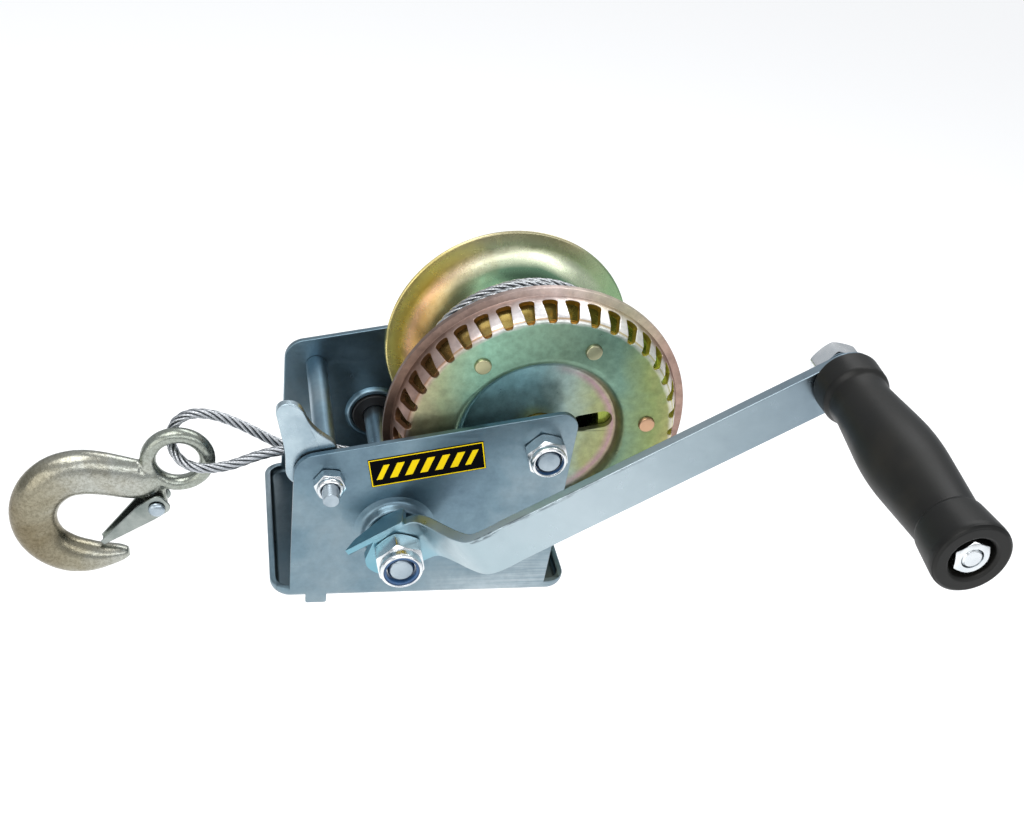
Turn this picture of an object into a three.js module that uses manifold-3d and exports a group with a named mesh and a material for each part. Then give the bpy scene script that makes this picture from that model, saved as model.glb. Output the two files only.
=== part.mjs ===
// Boat trailer hand winch: stamped frame, geared drum with wire rope, cranked drive, pawl and snap hook.
// Millimetres. +X points away from the rope's exit, +Y away from the crank, +Z up off the mounting face.
// The origin is the centre of the underside of the base.
import * as THREE from "three";
import { mergeVertices } from "three/addons/utils/BufferGeometryUtils.js";
import Module from "manifold-3d";

const wasm = await Module();
wasm.setup();

// ---------------------------------------------------------------- driving dimensions
const SHEET = 3; // frame sheet thickness
const GAP = 0.3; // clearance between touching pieces
const BASE_LENGTH = 146;
const FRAME_WIDTH = 103; // over the two side plates
const RIM_HEIGHT = 6.5; // rim round the base tray
const TAB_DEPTH = 2.6; // locating tabs below the side plates
const PLATE_FRONT = -64; // side plate edges along X
const PLATE_BACK_LOW = 61.4;
const PLATE_BACK_HIGH = 65.5;
const PLATE_TOP_FRONT = 83.4; // side plate corner heights
const PLATE_TOP_BACK = 109.1;

const DRUM = { x: 51, z: 87.4 }; // drum axis
const DRIVE = { x: -16, z: 41.9 }; // drive shaft axis
const TIE = { x: -47.9, z: 71.3 }; // tie bolt, also the pawl's pivot

const GEAR_TEETH = 40;
const PINION_TEETH = 10;
const GEAR_PHASE = THREE.MathUtils.degToRad(218.68); // middle of one gap of the gear
const PINION_PHASE = THREE.MathUtils.degToRad(34.18 + 18); // middle of one tooth of the pinion
const RIM_RADIUS = 73.2;
const FACE_Y = -41.7; // front of the gear disc's flat face
const RIVET_RADIUS = 3;
const RIVET_CIRCLE = 51.2;
const RIVET_PHASE = THREE.MathUtils.degToRad(9);
const HUB_RADIUS = 32; // what the rope is wound on
const HUB_TUBE_RADIUS = 10; // tube round the drum's bolt, and the spacers at its ends
const FLANGE_RADIUS = 63.4;
const FLARE_START_Y = 10.5;
const FLARE_END_Y = 45.6;
const WINDING_RADIUS = 51;

const SHAFT_RADIUS = 6; // drum bolt and crank shaft
const PINION_Y = [-46.7, -30.4];
const PAWL_Y = [-47.5, -43.2];
const TIE_RADIUS = 4;
const ARM_LENGTH = 213;
const ARM_ANGLE = THREE.MathUtils.degToRad(32.4);
const ARM_LOW = 11.9; // from the arm's axis line to its two long edges
const ARM_HIGH = 10.5;
const ARM_END_RADIUS = 14;
const ARM_THICKNESS = 5;
const HUB_FACE_Y = -67.5; // outer face of the arm at its hub
const BAR_FACE_Y = -97.5; // outer face of the arm's straight bar
const GRIP_LENGTH = 117.5;
const GRIP_BOLT_RADIUS = 5; // shoulder that the grip turns on
const GRIP_THREAD_RADIUS = 4;

const ROPE_RADIUS = 2.5;
const ROPE_Y = -7.5; // plane of the rope's free end and of the hook
const ROPE_LINE_RADIUS = 48.6; // the rope's line passes the drum axis at this distance
const SLEEVE_Z = 58.4;
const SLEEVE_FRONT = -65.5;
const SLEEVE_BACK = -47.5;
const EYE = { x: -116.2, z: 52.2, radius: 13.9, bar: 3.9 }; // the hook's eye: centre, middle line and bar
const LATCH_PIVOT = { x: -126.4, z: 26.6 };

const NEAR_OUT = -FRAME_WIDTH / 2;
const NEAR_IN = NEAR_OUT + SHEET;
const FAR_OUT = FRAME_WIDTH / 2;
const FAR_IN = FAR_OUT - SHEET;
const GRIP_SHOULDER_Y = BAR_FACE_Y - GRIP_LENGTH + 9;
const GRIP = {
  x: DRIVE.x + ARM_LENGTH * Math.cos(ARM_ANGLE),
  z: DRIVE.z + ARM_LENGTH * Math.sin(ARM_ANGLE),
};

// ---------------------------------------------------------------- finishes
const finish = (color, roughness, metalness) =>
  new THREE.MeshStandardMaterial({ color, roughness, metalness });
const ZINC = finish(0xaebcc8, 0.38, 0.9);
const BRIGHT_ZINC = finish(0xc4ccd2, 0.28, 0.95);
const YELLOW_ZINC = finish(0xb7a452, 0.35, 0.85);
const PALE_GOLD_ZINC = finish(0xb9b094, 0.35, 0.85);
const ROPE_STEEL = finish(0xa7abb0, 0.4, 0.8);
const BLACK_PLASTIC = finish(0x161718, 0.55, 0);
const BLUE_NYLON = finish(0x2a5c9a, 0.45, 0);
const STICKER = finish(0x0a0a0a, 0.35, 0);

// ---------------------------------------------------------------- solid helpers
// A closed geometry as a manifold solid whose faces point outwards.
function solid(geometry) {
  const bare = geometry.index ? geometry.toNonIndexed() : geometry.clone();
  bare.deleteAttribute("normal");
  bare.deleteAttribute("uv");
  const merged = mergeVertices(bare, 1e-4);
  const index = merged.index.array;
  const position = merged.attributes.position;
  const corner = [new THREE.Vector3(), new THREE.Vector3(), new THREE.Vector3()];
  const kept = [];
  let volume = 0;
  for (let i = 0; i < index.length; i += 3) {
    const [a, b, c] = [index[i], index[i + 1], index[i + 2]];
    if (a === b || b === c || c === a) continue;
    [a, b, c].forEach((vertex, k) => corner[k].fromBufferAttribute(position, vertex));
    volume += corner[0].dot(corner[1].clone().cross(corner[2]));
    kept.push(a, b, c);
  }
  if (volume < 0) kept.reverse();
  return new wasm.Manifold(
    new wasm.Mesh({
      numProp: 3,
      vertProperties: new Float32Array(position.array),
      triVerts: new Uint32Array(kept),
    }),
  );
}

const join = (...pieces) => pieces.reduce((whole, piece) => whole.add(piece));
const cut = (body, ...tools) => tools.reduce((whole, tool) => whole.subtract(tool), body);

function geometryOf(body) {
  const mesh = body.getMesh();
  return new THREE.BufferGeometry()
    .setAttribute("position", new THREE.BufferAttribute(new Float32Array(mesh.vertProperties), 3))
    .setIndex(new THREE.BufferAttribute(new Uint32Array(mesh.triVerts), 1));
}

// Turned about a line parallel to Y through (axis.x, axis.z). The profile holds [radius, y] pairs.
function turned(axis, profile, segments = 24) {
  const points = profile.map(([radius, y]) => new THREE.Vector2(radius, y));
  return solid(new THREE.LatheGeometry(points, segments).translate(axis.x, 0, axis.z));
}

const disc = (axis, radius, y0, y1, segments = 24) =>
  turned(axis, [[0, y0], [radius, y0], [radius, y1], [0, y1]], segments);

const ring = (axis, inner, outer, y0, y1, segments = 24) =>
  turned(axis, [[inner, y0], [outer, y0], [outer, y1], [inner, y1], [inner, y0]], segments);

// An outline in the XZ plane, pulled along Y from y0 to y1.
function prismY(shape, y0, y1, curveSegments = 8) {
  const options = { depth: y1 - y0, bevelEnabled: false, curveSegments };
  return solid(new THREE.ExtrudeGeometry(shape, options).rotateX(Math.PI / 2).translate(0, y1, 0));
}

// An outline in the XY plane, pulled up along Z from z0 to z1.
function prismZ(shape, z0, z1, curveSegments = 6) {
  const options = { depth: z1 - z0, bevelEnabled: false, curveSegments };
  return solid(new THREE.ExtrudeGeometry(shape, options).translate(0, 0, z0));
}

// A polygon whose corners [x, y, radius] are rounded.
function roundedShape(corners) {
  const shape = new THREE.Shape();
  const points = corners.map(([x, y]) => new THREE.Vector2(x, y));
  corners.forEach(([, , radius = 0], i) => {
    const here = points[i];
    const before = points[(i + points.length - 1) % points.length];
    const after = points[(i + 1) % points.length];
    const start = here.clone().add(before.clone().sub(here).setLength(Math.max(radius, 1e-6)));
    const end = here.clone().add(after.clone().sub(here).setLength(Math.max(radius, 1e-6)));
    if (i === 0) shape.moveTo(start.x, start.y);
    else shape.lineTo(start.x, start.y);
    if (radius > 0) shape.quadraticCurveTo(here.x, here.y, end.x, end.y);
  });
  shape.closePath();
  return shape;
}

function roundedRectangle(length, width, radius) {
  const [x, y] = [length / 2, width / 2];
  return roundedShape([[-x, -y, radius], [x, -y, radius], [x, y, radius], [-x, y, radius]]);
}

// A closed skin through equal rings of points, with flat ends.
function loft(rings) {
  const sides = rings[0].length;
  const positions = rings.flat().flatMap((p) => [p.x, p.y, p.z]);
  const index = [];
  for (let r = 0; r + 1 < rings.length; r++)
    for (let s = 0; s < sides; s++) {
      const next = (s + 1) % sides;
      const [a, b, c, d] = [r * sides + s, r * sides + next, (r + 1) * sides + next, (r + 1) * sides + s];
      index.push(a, b, c, a, c, d);
    }
  const last = (rings.length - 1) * sides;
  for (let s = 1; s + 1 < sides; s++) index.push(0, s + 1, s, last, last + s, last + s + 1);
  const geometry = new THREE.BufferGeometry();
  geometry.setAttribute("position", new THREE.Float32BufferAttribute(positions, 3));
  geometry.setIndex(index);
  return solid(geometry);
}

// A round rope along a smooth curve through the points.
function rope(points, steps) {
  const section = new THREE.Shape().absarc(0, 0, ROPE_RADIUS, 0, 2 * Math.PI);
  const extrudePath = new THREE.CatmullRomCurve3(points, false, "centripetal");
  return solid(new THREE.ExtrudeGeometry(section, { steps, extrudePath, curveSegments: 4 }));
}

const polar = (axis, radius, angle) => [
  axis.x + radius * Math.cos(angle),
  axis.z + radius * Math.sin(angle),
];

// ---------------------------------------------------------------- frame
function sidePlateShape() {
  return roundedShape([
    [PLATE_FRONT, -1, 0],
    [PLATE_BACK_LOW, -1, 0],
    [PLATE_BACK_HIGH, PLATE_TOP_BACK, 10],
    [PLATE_FRONT, PLATE_TOP_FRONT, 9],
  ]);
}

// Cross-section of the bent channel in the YZ plane, pulled along X over the side plates' length.
function bentChannel() {
  const outerBend = 5;
  const innerBend = outerBend - SHEET;
  const top = PLATE_TOP_BACK + 5;
  const section = roundedShape([
    [NEAR_OUT, 0, outerBend],
    [FAR_OUT, 0, outerBend],
    [FAR_OUT, top, 0],
    [FAR_IN, top, 0],
    [FAR_IN, SHEET, innerBend],
    [NEAR_IN, SHEET, innerBend],
    [NEAR_IN, top, 0],
    [NEAR_OUT, top, 0],
  ]);
  const length = PLATE_BACK_HIGH - PLATE_FRONT + 10;
  const options = { depth: length, bevelEnabled: false, curveSegments: 5 };
  const geometry = new THREE.ExtrudeGeometry(section, options);
  geometry.rotateX(Math.PI / 2).rotateZ(Math.PI / 2).translate(PLATE_FRONT - 5, 0, 0);
  return solid(geometry);
}

function slotShape(x, y, length, width, alongX) {
  const half = length / 2 - width / 2;
  const [dx, dy] = alongX ? [half, 0] : [0, half];
  const turn = alongX ? Math.PI / 2 : 0;
  const shape = new THREE.Shape();
  shape.absarc(x + dx, y + dy, width / 2, -turn, Math.PI - turn);
  shape.absarc(x - dx, y - dy, width / 2, Math.PI - turn, 2 * Math.PI - turn);
  return shape;
}

function frameStamping() {
  const lap = 0.7; // how far the base tray's ends run into the bent channel
  const plates = prismY(sidePlateShape(), NEAR_OUT - 1, FAR_OUT + 1);
  const channel = bentChannel().intersect(plates);
  const rimOuter = roundedRectangle(BASE_LENGTH, FRAME_WIDTH, 10);
  const rimInner = roundedRectangle(BASE_LENGTH - 2 * SHEET, FRAME_WIDTH - 2 * SHEET, 7);
  const tray = cut(prismZ(rimOuter, 0, RIM_HEIGHT), prismZ(rimInner, SHEET, RIM_HEIGHT + 1));
  const [front, back] = [PLATE_FRONT + lap, PLATE_BACK_LOW - lap];
  const middle = new THREE.BoxGeometry(back - front, 2 * FRAME_WIDTH, 4 * RIM_HEIGHT);
  const trayEnds = tray.subtract(solid(middle.translate((front + back) / 2, 0, 0)));
  const [tabFront, tabBack] = [-56.2, -46.2];
  const tabShape = roundedShape([
    [tabFront, -TAB_DEPTH, 1],
    [tabBack, -TAB_DEPTH, 1],
    [tabBack, 1, 0],
    [tabFront, 1, 0],
  ]);
  const tabs = [NEAR_OUT, FAR_IN].map((y) => prismY(tabShape, y + 0.01, y + SHEET - 0.01));
  const [nearBore, farBore] = [8.3, 12.2];
  const nearCollarEnd = -55.8;
  const nearCollar = [
    [8, NEAR_IN],
    [17.5, NEAR_IN],
    [17.5, NEAR_OUT],
    [15.2, -52.9],
    [14.3, nearCollarEnd],
    [8, nearCollarEnd],
    [8, NEAR_IN],
  ];
  const collars = [turned(DRIVE, nearCollar), ring(DRIVE, 12, 14.2, FAR_IN - 2.4, FAR_OUT)];
  const holes = [
    disc(DRIVE, nearBore, nearCollarEnd - 5, NEAR_IN + 1),
    disc(DRIVE, farBore, FAR_IN - 4, FAR_OUT + 1),
    disc(DRUM, SHAFT_RADIUS + GAP, NEAR_OUT - 1, FAR_OUT + 1),
    disc(TIE, TIE_RADIUS + GAP, NEAR_OUT - 1, FAR_OUT + 1, 24),
  ];
  const slotWidth = 10.5;
  const slots = [
    slotShape(-45, 0, 40, slotWidth, false),
    slotShape(45, -27, 24, slotWidth, true),
    slotShape(45, 27, 24, slotWidth, true),
  ].map((shape) => prismZ(shape, -1, SHEET + 1));
  return cut(join(channel, trayEnds, ...tabs, ...collars), ...holes, ...slots);
}

// Label on the crank-side plate, parallel to the plate's sloping top edge.
function label() {
  const [length, height] = [53.5, 15.5];
  const centre = { x: -3.5, z: 80 };
  const slope = Math.atan2(PLATE_TOP_BACK - PLATE_TOP_FRONT, PLATE_BACK_HIGH - PLATE_FRONT);
  const geometry = new THREE.BoxGeometry(length, 0.4, height);
  return solid(geometry.rotateY(-slope).translate(centre.x, NEAR_OUT - GAP - 0.2, centre.z));
}

// ---------------------------------------------------------------- fasteners
// A hexagon with chamfered corners between y0 and y1, across flats af.
function hexagon(axis, af, y0, y1, turn = 0) {
  const geometry = new THREE.CylinderGeometry(af / Math.sqrt(3), af / Math.sqrt(3), y1 - y0, 6);
  const prism = solid(geometry.rotateY(turn).translate(axis.x, (y0 + y1) / 2, axis.z));
  const chamfer = af * 0.085;
  const corner = af / Math.sqrt(3);
  const cone = [
    [0, y0],
    [corner - chamfer, y0],
    [corner + 0.1, y0 + chamfer * 0.6],
    [corner + 0.1, y1 - chamfer * 0.6],
    [corner - chamfer, y1],
    [0, y1],
  ];
  return prism.intersect(turned(axis, cone, 18));
}

// Locking nut from y (its seat) towards -Y: hexagon, round collar and the seat for the nylon ring.
function lockNut(axis, af, height, bore, y, turn) {
  const hexHeight = height * 0.68;
  const collar = af * 0.47;
  const top = y - height;
  const body = join(
    hexagon(axis, af, y - hexHeight, y, turn),
    turned(axis, [[0, top], [collar - 1, top], [collar, top + 1], [collar, y - 1], [0, y - 1]], 20),
  );
  const seat = disc(axis, collar - 1.4, top - 1, top + height * 0.22, 20);
  return cut(body, disc(axis, bore + GAP, top - 1, y + 1, 20), seat);
}

function nylonRing(axis, af, height, bore, y) {
  const top = y - height;
  return ring(axis, bore + GAP, af * 0.47 - 1.4 - GAP, top + 0.5, top + height * 0.22 - GAP, 20);
}

// A bolt along Y whose head stands on the +Y side.
function boltWithFarHead(axis, radius, af, end, seat, headHeight, segments = 24) {
  const shank = [[0, end], [radius - 1, end], [radius, end + 1], [radius, seat + 1], [0, seat + 1]];
  return join(turned(axis, shank, segments), hexagon(axis, af, seat, seat + headHeight, 0.2));
}

// ---------------------------------------------------------------- drum
function gearGap(index) {
  const middle = GEAR_PHASE + (index * 2 * Math.PI) / GEAR_TEETH;
  const side = [[62.4, 1.3], [63.5, 2.2], [68.7, 3.0]];
  const outline = [
    ...side.map(([radius, half]) => [radius, -half]),
    ...side.reverse().map(([radius, half]) => [radius, half]),
  ].map(([radius, half]) => {
    const [x, z] = polar(DRUM, radius, middle + THREE.MathUtils.degToRad(half));
    return new THREE.Vector2(x, z);
  });
  return prismY(new THREE.Shape(outline), FACE_Y - 2, -24);
}

function gearDisc() {
  const front = [
    [HUB_TUBE_RADIUS + GAP, -35.7],
    [37, -35.7],
    [40.7, FACE_Y],
    [63, FACE_Y],
    [64.6, FACE_Y + 1.2],
    [69, -28.5],
    [RIM_RADIUS, -28.2],
    [RIM_RADIUS, -25.9],
  ];
  const back = [
    [67.4, -25.7],
    [61.6, FACE_Y + 3],
    [43.4, FACE_Y + 3],
    [39.3, -32.7],
    [HUB_TUBE_RADIUS + GAP, -32.7],
    [HUB_TUBE_RADIUS + GAP, -35.7],
  ];
  const blank = turned(DRUM, [...front, ...back], 2 * GEAR_TEETH);
  const gaps = Array.from({ length: GEAR_TEETH }, (_, index) => gearGap(index));
  const anchorSlot = () => {
    const [length, width, radius] = [20, 9, 26];
    const shape = slotShape(radius, 0, length, width, true);
    return prismY(shape, -40, -30).rotate([0, -12, 0]).translate([DRUM.x, 0, DRUM.z]);
  };
  const rivetHoles = rivetPlaces().map((place) => disc(place, RIVET_RADIUS + GAP, -45, -30, 12));
  return cut(blank, ...gaps, anchorSlot(), ...rivetHoles);
}

function rivetPlaces() {
  return Array.from({ length: 6 }, (_, k) => {
    const [x, z] = polar(DRUM, RIVET_CIRCLE, RIVET_PHASE + (k * Math.PI) / 3);
    return { x, z };
  });
}

function rivet(place) {
  const head = FACE_Y - GAP;
  const tail = -36.4 + GAP;
  const profile = [
    [0, head - 1.4],
    [3.4, head - 1.1],
    [4, head - 0.5],
    [4, head],
    [RIVET_RADIUS, head],
    [RIVET_RADIUS, tail],
    [4.2, tail],
    [3.6, tail + 1.2],
    [0, tail + 1.2],
  ];
  return turned(place, profile, 12);
}

// Radius of the spool's rope side where it flares from the hub to the far flange.
function flareRadius(y, offset = 0) {
  const share = Math.min(1, Math.max(0, (y - FLARE_START_Y - offset) / (FLARE_END_Y - FLARE_START_Y)));
  return FLANGE_RADIUS - (FLANGE_RADIUS - HUB_RADIUS) * Math.sqrt(1 - share * share);
}

const flareAngles = [0, 20, 38, 56, 74].map(THREE.MathUtils.degToRad);

function drumSpool() {
  const wall = 2;
  const depth = FLARE_END_Y - FLARE_START_Y;
  const reach = FLANGE_RADIUS - HUB_RADIUS;
  const flareAt = (angle, grow) => [
    FLANGE_RADIUS - (reach + grow) * Math.cos(angle),
    FLARE_START_Y + (depth + grow) * Math.sin(angle),
  ];
  const profile = [
    [45.2, -38.4],
    [57.4, -38.4],
    [61.8, -29.8],
    [66.4, -24.6],
    [65, -23.2],
    [60, -28.9],
    [56, -36.4],
    [46.2, -36.4],
    [42.8, -30.2],
    [34, -30.2],
    [HUB_RADIUS, -28.4],
    ...flareAngles.map((angle) => flareAt(angle, 0)),
    [FLANGE_RADIUS, FLARE_END_Y],
    [FLANGE_RADIUS + 0.3, FLARE_END_Y + wall / 2],
    [FLANGE_RADIUS, FLARE_END_Y + wall],
    ...flareAngles.map((angle) => flareAt(angle, wall)).reverse(),
    [HUB_RADIUS - wall, -32.2],
    [41.4, -32.2],
    [45.2, -38.4],
  ];
  const rivetHoles = rivetPlaces().map((place) => disc(place, RIVET_RADIUS + GAP, -45, -30, 12));
  return cut(turned(DRUM, profile, 40), ...rivetHoles);
}

function ropeWinding() {
  const clearance = 0.6;
  const along = [33.5, 28, 21, 13];
  const profile = [
    [HUB_RADIUS + 0.4, -27.6],
    [WINDING_RADIUS, -27.6],
    [WINDING_RADIUS, 22],
    [WINDING_RADIUS - 3, 27],
    [41.6, 33.8],
    ...along.map((y) => [Math.max(flareRadius(y) + clearance, HUB_RADIUS + 0.4), y]),
    [HUB_RADIUS + 0.4, -27.6],
  ];
  return turned(DRUM, profile, 40);
}

// ---------------------------------------------------------------- drive
function pinion() {
  const [root, tip] = [11.5, 18.1];
  const outline = [];
  const flank = [[root, 8.6], [12.6, 7.4], [15.4, 6.2], [17.2, 4.7], [tip, 3.2]];
  for (let tooth = 0; tooth < PINION_TEETH; tooth++) {
    const middle = PINION_PHASE + (tooth * 2 * Math.PI) / PINION_TEETH;
    const halves = [
      ...flank.map(([radius, half]) => [radius, -half]),
      ...flank.toReversed().map(([radius, half]) => [radius, half]),
    ];
    for (const [radius, half] of halves) {
      const [x, z] = polar(DRIVE, radius, middle + THREE.MathUtils.degToRad(half));
      outline.push(new THREE.Vector2(x, z));
    }
  }
  const teeth = prismY(new THREE.Shape(outline), ...PINION_Y);
  return cut(teeth, disc(DRIVE, SHAFT_RADIUS + GAP, -50, -20));
}

function driveShaft() {
  const profile = [
    [0, -81.2],
    [4.6, -81.2],
    [SHAFT_RADIUS, -79.6],
    [SHAFT_RADIUS, -62.2],
    [8.4, -62.2],
    [8.4, -56.9],
    [SHAFT_RADIUS, -56.9],
    [SHAFT_RADIUS, 57.4],
    [5.2, 57.4],
    [5.2, 58.8],
    [SHAFT_RADIUS, 58.8],
    [5.2, 60.4],
    [0, 60.4],
  ];
  return turned(DRIVE, profile, 20);
}

// Retaining ring in the groove at the shaft's far end, open on one side.
function shaftClip() {
  const mouth = solid(new THREE.BoxGeometry(9, 4, 12).translate(DRIVE.x, 58.1, DRIVE.z - 8));
  return cut(ring(DRIVE, 5.5, 9.4, 57.7, 58.5, 24), mouth);
}

// The bar seen from its edge: [distance along the arm, offset of the mid-plane towards +Y].
function armSideShape() {
  const hubMid = HUB_FACE_Y + ARM_THICKNESS / 2;
  const barMid = BAR_FACE_Y + ARM_THICKNESS / 2;
  const [bendStart, bendEnd] = [11.5, 41];
  const middle = new THREE.CatmullRomCurve3(
    [
      [-20, hubMid],
      [0, hubMid],
      [bendStart, hubMid],
      [bendStart + 5, hubMid - 2],
      [(bendStart + bendEnd) / 2, (hubMid + barMid) / 2],
      [bendEnd - 5, barMid + 2],
      [bendEnd, barMid],
      [bendEnd + 12, barMid],
      [ARM_LENGTH + 15, barMid],
    ].map(([s, y]) => new THREE.Vector3(s, y, 0)),
    false,
    "centripetal",
  );
  const left = [];
  const right = [];
  const steps = [0, 0.1, 0.13, 0.16, 0.19, 0.22, 0.25, 0.28, 0.31, 0.34, 0.37, 0.4, 0.43, 0.46, 0.5, 0.6, 1];
  for (const share of steps) {
    const point = middle.getPointAt(armShare(middle, share));
    const tangent = middle.getTangentAt(armShare(middle, share));
    const normal = new THREE.Vector2(-tangent.y, tangent.x).setLength(ARM_THICKNESS / 2);
    left.push(new THREE.Vector2(point.x + normal.x, point.y + normal.y));
    right.push(new THREE.Vector2(point.x - normal.x, point.y - normal.y));
  }
  return new THREE.Shape([...left, ...right.reverse()]);
}

// Shares below 1 cover the hub and the joggle only; 1 is the far end of the bar.
function armShare(curve, share) {
  const joggleLength = 150;
  return share === 1 ? 1 : (share * joggleLength) / curve.getLength();
}

// Made along local X from the drive axis, then turned to the arm's angle.
function crankArm() {
  const side = new THREE.ExtrudeGeometry(armSideShape(), { depth: 60, bevelEnabled: false });
  const sheet = solid(side.translate(0, 0, -30));
  const hub = 12.2;
  const outline = new THREE.Shape();
  outline.moveTo(0, -hub);
  outline.lineTo(14, -hub);
  outline.quadraticCurveTo(22, -hub, 30, -ARM_LOW);
  outline.lineTo(ARM_LENGTH, -ARM_LOW);
  const [middle, half] = [(ARM_HIGH - ARM_LOW) / 2, (ARM_HIGH + ARM_LOW) / 2];
  outline.absellipse(ARM_LENGTH, middle, ARM_END_RADIUS, half, -Math.PI / 2, Math.PI / 2);
  outline.lineTo(30, ARM_HIGH);
  outline.quadraticCurveTo(22, hub, 14, hub);
  outline.lineTo(-6, hub);
  outline.lineTo(-15.5, 4);
  outline.quadraticCurveTo(-16.5, -hub, 0, -hub);
  const origin = { x: 0, z: 0 };
  const ear = new THREE.Shape([
    new THREE.Vector2(-20.5, HUB_FACE_Y + 0.2),
    new THREE.Vector2(9.5, HUB_FACE_Y + 0.2),
    new THREE.Vector2(11.5, -57.4),
    new THREE.Vector2(1.5, -56.4),
    new THREE.Vector2(-15, -62.6),
  ]);
  const earDepth = 3.2;
  const earGeometry = new THREE.ExtrudeGeometry(ear, { depth: earDepth, bevelEnabled: false });
  const fold = solid(earGeometry.translate(0, 0, hub - earDepth + 1.8));
  const bar = sheet.intersect(prismY(outline, -110, -50, 6));
  const drilled = cut(
    join(bar, fold),
    disc(origin, SHAFT_RADIUS + GAP, -110, -50),
    disc({ x: ARM_LENGTH, z: 0 }, GRIP_BOLT_RADIUS + GAP, -110, -50, 24),
  );
  return drilled
    .rotate([0, THREE.MathUtils.radToDeg(-ARM_ANGLE), 0])
    .translate([DRIVE.x, 0, DRIVE.z]);
}

// Shoulder bolt: the grip turns on the shoulder, and the nut is tight against the shoulder's end.
function gripBolt() {
  const end = BAR_FACE_Y - GRIP_LENGTH + 0.4;
  const seat = BAR_FACE_Y + ARM_THICKNESS + GAP;
  const [thread, shoulder] = [GRIP_THREAD_RADIUS, GRIP_BOLT_RADIUS];
  const shank = turned(GRIP, [
    [0, end],
    [thread - 1, end],
    [thread, end + 1],
    [thread, GRIP_SHOULDER_Y],
    [shoulder, GRIP_SHOULDER_Y],
    [shoulder, seat + 1],
    [0, seat + 1],
  ]);
  return join(shank, hexagon(GRIP, 20, seat, seat + 9.5, 0.2));
}

function gripNut() {
  const [low, high] = [GRIP_SHOULDER_Y - GAP - 8, GRIP_SHOULDER_Y - GAP];
  const hole = disc(GRIP, GRIP_THREAD_RADIUS + GAP, low - 1, high + 1, 24);
  return cut(hexagon(GRIP, 13, low, high, 0.35), hole);
}

// Moulded grip: collar, waist, swollen middle, waist, flared collar with a well for the nut.
function grip() {
  const start = BAR_FACE_Y - 0.5;
  const bore = GRIP_BOLT_RADIUS + 0.4;
  const well = 9;
  const outer = [
    [14.2, 0],
    [14.4, 12],
    [13, 15],
    [12.8, 20],
    [15.2, 42],
    [16.5, 57],
    [15.2, 74],
    [12.9, GRIP_LENGTH - 20.5],
    [13.9, GRIP_LENGTH - 17.5],
    [15.6, GRIP_LENGTH - 3.5],
    [15, GRIP_LENGTH - 1],
    [13.8, GRIP_LENGTH - 0.5],
  ];
  const inner = [
    [well + 0.8, GRIP_LENGTH - 0.5],
    [well, GRIP_LENGTH - 1.5],
    [well, GRIP_LENGTH - 9.7],
    [bore, GRIP_LENGTH - 9.7],
    [bore, 0],
    [14.2, 0],
  ];
  return turned(GRIP, [...outer, ...inner].map(([radius, along]) => [radius, start - along]), 26);
}

// ---------------------------------------------------------------- pawl
function pawl() {
  const at = (dx, dz, radius) => [TIE.x + dx, TIE.z + dz, radius];
  const shape = roundedShape([
    at(-19.4, -2, 5),
    at(-19.8, 12, 6),
    at(-25.6, 38.4, 5.2),
    at(-14.2, 39.5, 6),
    at(-9.5, 26.5, 8),
    at(2.2, 17.5, 2),
    at(5.5, 6.5, 4),
    at(26, -2.6, 3),
    at(31.3, -7.6, 0.6),
    at(31, -10.4, 0.4),
    at(29.5, -10.6, 0.4),
    at(27.6, -8.2, 0.8),
    at(19, -7.4, 3),
    at(5, -9.5, 4),
    at(-7.5, -9, 5),
  ]);
  return cut(prismY(shape, ...PAWL_Y, 5), disc(TIE, TIE_RADIUS + GAP, -50, -40, 24));
}

// ---------------------------------------------------------------- rope end and hook
// The rope's free run goes from the sleeve towards the underside of the winding.
function cableRun() {
  const start = new THREE.Vector2(SLEEVE_BACK + 2 * GAP + 0.3, SLEEVE_Z);
  const drum = new THREE.Vector2(DRUM.x, DRUM.z);
  const distance = start.distanceTo(drum);
  const slope = Math.atan2(drum.y - start.y, drum.x - start.x) - Math.asin(ROPE_LINE_RADIUS / distance);
  const whole = Math.sqrt(distance ** 2 - ROPE_LINE_RADIUS ** 2);
  const buried = Math.sqrt((WINDING_RADIUS + ROPE_RADIUS + 0.6) ** 2 - ROPE_LINE_RADIUS ** 2);
  const points = [0, 0.33, 0.66, 1].map((share) => {
    const along = share * (whole - buried);
    return new THREE.Vector3(start.x + along * Math.cos(slope), ROPE_Y, start.y + along * Math.sin(slope));
  });
  return rope(points, 6);
}

// [x, distance from the hook's plane, z] along the loop, from the sleeve round the eye and back.
const LOOP_POINTS = [
  [SLEEVE_FRONT - 4 * GAP, 2.7, 58.2],
  [-71.2, 3.4, 60],
  [-81.2, 5, 65.2],
  [-91.1, 6.4, 69.8],
  [-100.8, 7.2, 73],
  [-110.6, 8, 72.6],
  [-117.2, 7.7, 68],
  [-119.4, 5.6, 61.9],
  [-118.8, 2.3, 58.4],
  [-117.2, -1.2, 56.3],
  [-113.8, -5, 54.2],
  [-108.8, -7.5, 53],
  [-100.9, -7.6, 52.2],
  [-91, -6.2, 53],
  [-81, -4.6, 56.2],
  [-71.1, -3.2, 58.4],
  [SLEEVE_FRONT - 4 * GAP, -2.7, 58.6],
];

function cableLoop() {
  return rope(LOOP_POINTS.map(([x, dy, z]) => new THREE.Vector3(x, ROPE_Y + dy, z)), 44);
}

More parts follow.
